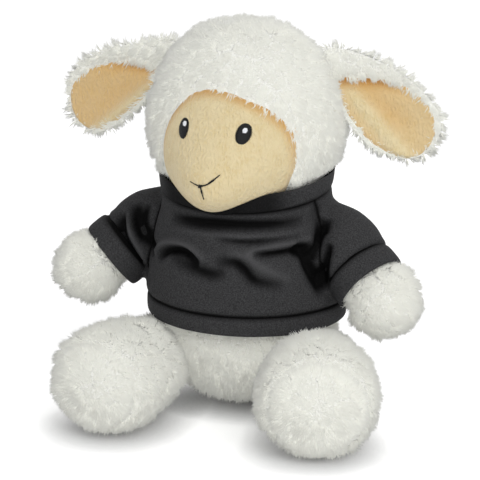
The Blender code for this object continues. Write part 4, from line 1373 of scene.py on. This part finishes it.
def merge_shirt():
    form = new_object("shirt_form", bpy.data.meshes.new("shirt_form"))
    with editing(form.data) as joined:
        for points, faces in [body_tube()] + [sleeve_tube(side, sign) for side, sign in SIDES]:
            part = new_piece("part", points, faces, JERSEY)
            joined.from_mesh(part.data)
            bpy.data.objects.remove(part)
    remesh = form.modifiers.new("remesh", "REMESH")
    remesh.mode, remesh.voxel_size = "VOXEL", VOXEL
    ready = form.evaluated_get(bpy.context.evaluated_depsgraph_get())
    form.data = bpy.data.meshes.new_from_object(ready)
    form.modifiers.clear()
    relax(form, RELAX_ROUNDS)
    form.data.shade_smooth()
    return form


shirt = merge_shirt()
print("shirt form", len(shirt.data.polygons), "faces")

# %% [markdown]
# ## Folds
# Jersey this thick falls in a few soft rolls. Each is one smooth line over the cloth, with
# a height, or a depth where it is a hollow, and a width. Its corners are set in whole
# millimetres as seen from the front, x and z, and lie on the frontmost cloth there. A point
# of the cloth moves along its normal by the sum of the lines near it, and each line fades
# out at both ends. Cloth simulation was left out: the toy fills its shirt, so the cloth has
# no slack to fall, and its few creases come from how the arms were pushed down.

# %% Press the folds
FOLD_STRENGTH, DARKEST_FOLD, FOLD_STEPS = 1.6, 1.9, 36
FOLDS = (
    # under the neckband: a hollow, a roll and a crease
    (-3.0, 2.8, ((-28, 102), (0, 103), (36, 103))),
    (0.8, 2.0, ((-25, 98), (6, 98), (37, 99))),
    (-1.6, 1.2, ((-2, 96), (14, 95), (36, 96))),
    # from the far armpit to the middle: a roll that arches over a deep hollow
    (2.0, 1.9, ((-39, 81), (-33, 87), (-25, 90), (-16, 90), (-7, 84))),
    (-3.6, 2.4, ((-37, 80), (-29, 86), (-20, 87), (-11, 82))),
    (-1.8, 2.8, ((-28, 83), (-15, 80), (-4, 78), (3, 80))),
    # from the near armpit to the middle
    (-2.2, 2.6, ((-2, 84), (7, 85), (12, 82), (18, 76), (30, 73))),
    (1.3, 2.6, ((3, 89), (13, 88), (20, 83), (34, 75))),
    (1.6, 2.0, ((40, 94), (27, 93), (12, 90))),
    (-2.4, 2.0, ((41, 91), (28, 90), (16, 89))),
    (-4.0, 3.6, ((33, 91), (38, 88), (41, 80), (46, 66))),
    # the far sleeve, pushed up by the arm
    (-3.8, 3.2, ((-53, 102), (-51, 96), (-46, 87), (-39, 81))),
    (-3.8, 4.0, ((-60, 97), (-59, 88), (-53, 78), (-50, 67))),
    (-2.4, 1.7, ((-47, 102), (-47, 95), (-44, 88))),
    (2.2, 1.8, ((-57, 98), (-55, 92), (-50, 82), (-46, 72))),
    # the near sleeve, along its seam
    (-3.4, 2.5, ((44, 102), (43, 93), (42, 83))),
    (-3.0, 2.2, ((48, 92), (46, 82), (45, 68))),
    (1.8, 1.5, ((45, 96), (44, 88), (44, 77))),
)


def on_front(tree, x, z):
    """The frontmost place of a form at x and z."""
    hit = tree.ray_cast(Vector((x, -FAR, z)), Vector((0, 1, 0)))[0]
    return np.array(hit if hit else tree.find_nearest(Vector((x, 0, z)))[0])


def press_folds(piece):
    points, normals, tree = points_of(piece), normals_of(piece), tree_of(piece)
    total, painted_shade = np.zeros(len(points)), np.zeros(len(points))
    for height, half, corners in FOLDS:
        share = np.linspace(0, 1, (len(corners) - 1) * FOLD_STEPS + 1)
        fade = np.sin(share * math.pi).clip(0, 1) ** 0.6
        best, weight = np.full(len(points), np.inf), np.zeros(len(points))
        for (x, z), strength in zip(smooth_row(np.array(corners) * MM, share), fade):
            away = np.linalg.norm(points - on_front(tree, x, z), axis=1)
            nearer = away < best
            best, weight = np.where(nearer, away, best), np.where(nearer, strength, weight)
        near = weight * bell(best, half * MM)
        total += FOLD_STRENGTH * height * MM * near
        # painted shade in each hollow and a painted highlight on each roll, more for a deeper or higher fold
        painted_shade -= height * near / DARKEST_FOLD
    set_points(piece, points + normals * total[:, None])
    tag(piece, "painted_shade", np.clip(painted_shade, 0, 0.95))
    tag(piece, "roll", np.clip(-painted_shade, 0, 1) * 0.8)


press_folds(shirt)
shirt_lumps = points_of(shirt)
grow(shirt, lumps(shirt_lumps, 17 * MM, 71) * 0.55 * MM + lumps(shirt_lumps, 8 * MM, 72) * 0.22 * MM)

# %% [markdown]
# ## Cutting the panels
# Planes cut the form open at the hem, the neck and the cuffs. Two more stand for the raglan
# seams. A seam pulls the cloth in along its line before the panels part there.

# %% Cut the panels
RAGLAN_TOP, RAGLAN_SLANT = 38.4 * MM, 0.17
ARMPIT = 70.5 * MM
SEAM_PULL, SEAM_PUFF, SEAM_HALF, SEAM_DARK = 0.95 * MM, 0.5 * MM, 1.0 * MM, 0.8 * MM
SMALLEST_PANEL, CUFF_BEYOND = 50, 45 * MM
JERSEY_THICK = 1.1 * MM


def raglan(points):
    """How far outside the nearer raglan seam points are."""
    slant = RAGLAN_TOP + RAGLAN_SLANT * (NECK_HEIGHT - points[:, 2])
    return (np.abs(points[:, 0]) - slant) / math.hypot(1, RAGLAN_SLANT)


def outside_body(points):
    """How far outside the body's tube points are, as a share of its girth."""
    wide, deep = shirt_ring(points[:, 2])
    return np.hypot(points[:, 0] / wide, points[:, 1] / deep) - 1


def neck_rise(points):
    return points[:, 2] - NECK_HEIGHT - NECK_SLOPE * points[:, 1]


def cuff_reach(points):
    """How far past its cuff seam a sleeve's points are, or far short of it elsewhere."""
    reach = np.full(len(points), -1.0)
    for side, sign in SIDES:
        middle, way = cuff_frame(side, sign)
        here = (points[:, 0] * sign > CUFF_BEYOND) & (outside_body(points) > 0.05)
        reach = np.where(here, (points - middle) @ way, reach)
    return reach


def seam_distance(points):
    """How far points are from the nearest seam: raglan, armpit, side, hem, neck or cuff."""
    above = points[:, 2] - ARMPIT
    beside = (raglan(points) > 0) & (outside_body(points) < 0.06) & (points[:, 1] > 0)
    return np.min([
        np.where(above > -0.1 * MM, np.abs(raglan(points)), 1), np.where(beside, np.abs(above), 1),
        np.where((above < 0) & (np.abs(points[:, 0]) > ARMPIT / 2), np.abs(points[:, 1]), 1),
        np.abs(points[:, 2] - HEM_TOP), np.abs(neck_rise(points)) * 0.6, np.abs(cuff_reach(points)),
    ], axis=0)


away = seam_distance(points_of(shirt))
grow(shirt, SEAM_PUFF * bell(away - 3 * MM, 1.8 * MM) - SEAM_PULL * bell(away, SEAM_HALF))


def in_sleeve(points):
    return (raglan(points) > 0) & ((points[:, 2] > ARMPIT) | (outside_body(points) > 0.045))


def cut_open(shape):
    """Cuts the shirt's form along every seam plane, and says which panel each face belongs to."""
    slant = math.atan(RAGLAN_SLANT)
    bisect(shape, (0, 0, HEM_TOP), (0, 0, -1))
    bisect(shape, (0, 0, NECK_HEIGHT), (0, -NECK_SLOPE, 1))
    bisect(shape, (0, 0, 0), (0, 1, 0))
    bisect(shape, (0, 0, ARMPIT), (0, 0, 1))
    for side, sign in SIDES:
        bisect(shape, (RAGLAN_TOP * sign, 0, NECK_HEIGHT), (math.cos(slant) * sign, 0, math.sin(slant)))
        bisect(shape, *cuff_frame(side, sign))
    shape.faces.index_update()
    middles = np.array([f.calc_center_median() for f in shape.faces])
    body = np.where(middles[:, 1] < 0, "front", "back")
    panels = np.where(in_sleeve(middles), np.where(middles[:, 0] > 0, "left", "right"), body)
    kept = (middles[:, 2] > HEM_TOP) & (neck_rise(middles) < 0) & (cuff_reach(middles) < 0)
    panels = np.where(kept, panels, "waste")
    # a scrap that touches no sleeve belongs to the body
    seen = set()
    for first in shape.faces:
        if first in seen or panels[first.index] not in ("left", "right"):
            continue
        group, todo = [first], [first]
        seen.add(first)
        while todo:
            for edge in todo.pop().edges:
                for face in edge.link_faces:
                    if face not in seen and panels[face.index] == panels[first.index]:
                        seen.add(face)
                        group.append(face)
                        todo.append(face)
        if len(group) < SMALLEST_PANEL:
            for face in group:
                panels[face.index] = body[face.index]
    return panels


def panel(name, wanted):
    """One panel of the cut shirt as its own piece."""
    made = new_object(name, shirt.data.copy())
    with editing(made.data) as shape:
        unwanted = [face for face, kept in zip(shape.faces, panels_of_faces == wanted) if not kept]
        bmesh.ops.delete(shape, geom=unwanted, context="FACES")
    made.data.shade_smooth()
    made.data.materials.clear()
    made.data.materials.append(JERSEY)
    # painted shade along the seam lines
    tag(made, "seam", bell(seam_distance(points_of(made)), SEAM_DARK))
    return made


with editing(shirt.data) as shape:
    panels_of_faces = cut_open(shape)
front = panel("shirt_front_panel", "front")
back = panel("shirt_back_panel", "back")
sleeves = {side: panel("shirt_sleeve_cloth_" + side, side) for side, _ in SIDES}
print("panels", {name: int(np.sum(panels_of_faces == name)) for name in np.unique(panels_of_faces)})
bpy.data.objects.remove(shirt)

# %% [markdown]
# ## Bands
# Hem, neck and cuffs are strips folded double, so they are thicker than the panels and
# round at their free edge. A band is a closed section swept round a ring.

# %% Hem, neckband and cuffs
BAND_SECTION = (
    (-0.16, -1.5), (0.0, -0.9), (0.02, -0.1), (0.08, 0.42), (0.25, 0.62), (0.5, 0.7), (0.75, 0.66),
    (0.92, 0.45), (0.99, -0.1), (1.0, -0.7), (0.97, -1.25), (0.75, -1.45), (0.5, -1.5), (0.25, -1.5),
    (0.03, -1.6), (-0.16, -1.9),
)
BAND_COLUMNS, BAND_LUMPS, BAND_SEAM_SHARE = 150, 0.35 * MM, 0.09
NECKBAND_WIDTH, CUFF_WIDTH = 9.3 * MM, CUFF_END - CUFF_START
CHIN_SHADE, CHIN_PRESS = (24 * MM, 38 * MM), 0.5 * MM


def band(name, ring, width, seed):
    """ring turns angles into places, directions out of the band and directions along its width."""
    angle = np.arange(BAND_COLUMNS) * math.tau / BAND_COLUMNS
    place, out, along = ring(angle)
    rows = []
    for share, offset in BAND_SECTION:
        wave = lumps(place + along * share * width, 9 * MM, seed) * BAND_LUMPS
        rows.append(place + along * (share * width) + out * (offset * MM + wave)[:, None])
    points = np.vstack(rows)
    faces = [
        tuple(corner % len(points) for corner in face)
        for face in ring_faces(len(rows) + 1, BAND_COLUMNS)
    ]
    made = new_piece(name, points, faces, JERSEY)
    share = np.repeat([max(share, 0) for share, _ in BAND_SECTION], BAND_COLUMNS)
    # painted shade along the band's sewn edge
    tag(made, "seam", bell(share, BAND_SEAM_SHARE))
    smooth = made.modifiers.new("round", "SUBSURF")
    smooth.levels = smooth.render_levels = 1
    print(name, round(cloth_area(made) * 5e3, 1), "cm2 a side")
    return made


def tube_ring(angle, height):
    wide, deep = shirt_ring(height)
    place = np.stack([wide * np.cos(angle), deep * np.sin(angle), height], 1)
    out = np.stack([np.cos(angle) / wide, np.sin(angle) / deep, np.zeros(len(angle))], 1)
    return place, unit_rows(out)


def hem_ring(angle):
    place, out = tube_ring(angle, np.full(len(angle), HEM_TOP))
    return place, out, np.tile((0.0, 0, -1), (len(angle), 1))


def neck_ring(angle):
    height = NECK_HEIGHT + NECK_SLOPE * SHIRT_HALF_DEPTH * SHIRT_OUTLINE[-1][1] * np.sin(angle)
    place, out = tube_ring(angle, height)
    return place, out, unit_rows(out * 0.10 + (0, 0, 1.0))


def cuff_ring(side, sign):
    def ring(angle):
        middle, way = cuff_frame(side, sign)
        out = spokes(angle, way)
        return middle + out * CUFF_RADIUS, out, np.tile(way, (len(angle), 1))
    return ring


def keep_off_head(piece, gap):
    """Cloth that would lie inside the stuffed head is pushed out to its surface."""
    turn_back, points = HEAD_TURN.inverted(), []
    for place in map(Vector, points_of(piece)):
        near, normal, _, _ = HEAD_TREE.find_nearest(turn_back @ place)
        depth = (turn_back @ place - near).dot(normal)
        points.append(HEAD_TURN @ (near + normal * gap) if depth < gap else place)
    set_points(piece, points)


hem = band("shirt_hem_cloth", hem_ring, HEM_TOP - HEM_BOTTOM, 81)
neckband = band("shirt_neckband_cloth", neck_ring, NECKBAND_WIDTH, 82)
keep_off_head(neckband, -CHIN_PRESS)
on_band = points_of(neckband)
# painted shadow of the chin over the front of the neckband
chin_shadow = (1 - smooth_step(*CHIN_SHADE, np.abs(on_band[:, 0] + 2 * MM))) * (on_band[:, 1] < 0)
tag(neckband, "painted_shade", chin_shadow * 0.8)
cuffs = {
    side: band("shirt_cuff_cloth_" + side, cuff_ring(side, sign), CUFF_WIDTH, 83) for side, sign in SIDES
}

# %% [markdown]
# ## The shirt as cloth
# Each panel gets the jersey's thickness, and each panel and band prints the area it was cut
# to beside its mesh's. A band's width is that of the folded strip. The slack that lets an
# arm rise is folded in round it at rest, as a tube of the same jersey inside the sleeve.

TUCK_START, TUCK_END, TUCK_RADIUS = -5 * MM, 26 * MM, 14 * MM
TUCK_ROWS, TUCK_COLUMNS = 16, 48
SLEEVE_BLEND = (46.5 * MM, 60 * MM)


def make_tuck(side, sign):
    """The sleeve's slack, which lies round the arm inside the sleeve."""
    shoulder, way = arm_line(side, sign)
    distance = np.repeat(np.linspace(TUCK_START, TUCK_END, TUCK_ROWS), TUCK_COLUMNS)
    angle = np.tile(np.arange(TUCK_COLUMNS) * math.tau / TUCK_COLUMNS, TUCK_ROWS)
    points = shoulder + np.outer(distance, way) + spokes(angle, way) * TUCK_RADIUS
    tuck = new_piece("shirt_sleeve_tuck_" + side, points, ring_faces(TUCK_ROWS, TUCK_COLUMNS), JERSEY)
    # painted shade over the whole tuck, which lies in the shade inside its sleeve
    tag(tuck, "painted_shade", np.full(len(distance), 0.6))
    return tuck


for piece in (front, back, *sleeves.values()):
    thicken(piece, JERSEY_THICK)
for piece, node, flat, area in (
    (front, "shirt_front", (150, 62), 66), (back, "shirt_back", (150, 66), 68),
    (hem, "shirt_hem_band", (302, 12), 36), (neckband, "shirt_neckband", (272, 11.5), 31),
):
    finish_piece(piece, "torso", replaces=(node,))
    cut_from(piece, flat, area)
for side, sign in SIDES:
    bend = ("torso", "arm_" + side, *((sign * x, SHOULDER[1], SHOULDER[2]) for x in SLEEVE_BLEND))
    finish_piece(sleeves[side], bend=bend, replaces=("shirt_sleeve_" + side,))
    finish_piece(cuffs[side], "arm_" + side, replaces=("sleeve_cuff_" + side,))
    cut_from(sleeves[side], (113, 50), 26)
    cut_from(cuffs[side], (118, 13), 15.2)
    tuck = thicken(make_tuck(side, sign), JERSEY_THICK)
    finish_piece(tuck, "arm_" + side)
    cut_from(tuck, (90, 32), 26)

# %% [markdown]
# ## Floor, lamps and backdrop
# A product table is a plain white sweep under large soft lamps. The backdrop is full white
# only for rays that come from the camera, a mirror or glass. The light it casts on the toy
# is weaker. The floor keeps the toy's soft shadow. It darkens a little more right beside the
# toy, where the pile would shade it, since the lamps shine through the pile here.

# %% Floor and light
FLOOR_COLOUR = (0.93, 0.93, 0.93)
FLOOR_GLOW, AMBIENT = 0.33, 0.44
CONTACT_REACH, CONTACT_POWER = 22 * MM, 1.3
CONTACT_COLOUR = (0.12, 0.12, 0.12)
FLOOR_HALF = 1.6


def seen_directly(tree):
    """1 for rays from the camera, a mirror or glass and 0 for others, and the camera's alone."""
    path = add(tree, "ShaderNodeLightPath").outputs
    seen = maths(tree, "MAXIMUM", path["Is Camera Ray"], path["Is Glossy Ray"])
    return maths(tree, "MAXIMUM", seen, path["Is Transmission Ray"]), path["Is Camera Ray"]


def make_floor():
    finish, tree, shader = new_finish("white_table", 0.9)
    seen, by_camera = seen_directly(tree)
    near = add(tree, "ShaderNodeAmbientOcclusion", {"Distance": CONTACT_REACH}, samples=6)
    shade = maths(tree, "POWER", near.outputs["AO"], CONTACT_POWER)
    shade = maths(tree, "MAXIMUM", shade, maths(tree, "SUBTRACT", 1, by_camera))
    tree.links.new(mixed(tree, shade, CONTACT_COLOUR, FLOOR_COLOUR), shader.inputs["Base Color"])
    shader.inputs["Emission Color"].default_value = (1, 1, 1, 1)
    glow = maths(tree, "MULTIPLY", maths(tree, "MULTIPLY", seen, FLOOR_GLOW), shade)
    tree.links.new(glow, shader.inputs["Emission Strength"])
    corners = [(x * FLOOR_HALF, y * FLOOR_HALF, 0) for x, y in ((-1, -1), (1, -1), (1, 1), (-1, 1))]
    new_piece("floor", corners, [(0, 1, 2, 3)], finish)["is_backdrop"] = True


make_floor()


LAMPS_AIM = Vector((0, 0, 0.1))
for name, place, size, watts in (
    ("key", (1.0, -0.9, 1.5), 1.4, 17.8), ("fill", (-1.2, -1.1, 0.8), 1.4, 3),
    ("low", (0.4, -1.6, 0.3), 1.4, 6.8), ("back", (0.1, 1.3, 1.4), 1.2, 8),
):
    lamp = new_object(name, bpy.data.lights.new(name, "AREA"))
    lamp.data.shape = "DISK"
    lamp.data.size, lamp.data.energy = size, watts
    lamp.location = place
    lamp.rotation_euler = (Vector(place) - LAMPS_AIM).to_track_quat("Z", "Y").to_euler()

world = bpy.data.worlds.new("studio")
bpy.context.scene.world = world
world.use_nodes = True
tree = world.node_tree
tree.nodes.clear()
seen, _ = seen_directly(tree)
strength = maths(tree, "ADD", maths(tree, "MULTIPLY", seen, 1 - AMBIENT), AMBIENT)
sky = add(tree, "ShaderNodeBackground", {"Color": (1, 1, 1, 1), "Strength": strength})
add(tree, "ShaderNodeOutputWorld", {"Surface": sky.outputs[0]})

# %% Finish
low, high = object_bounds()
print("visual box", [round(v / MM, 1) for v in (*low, *high)])
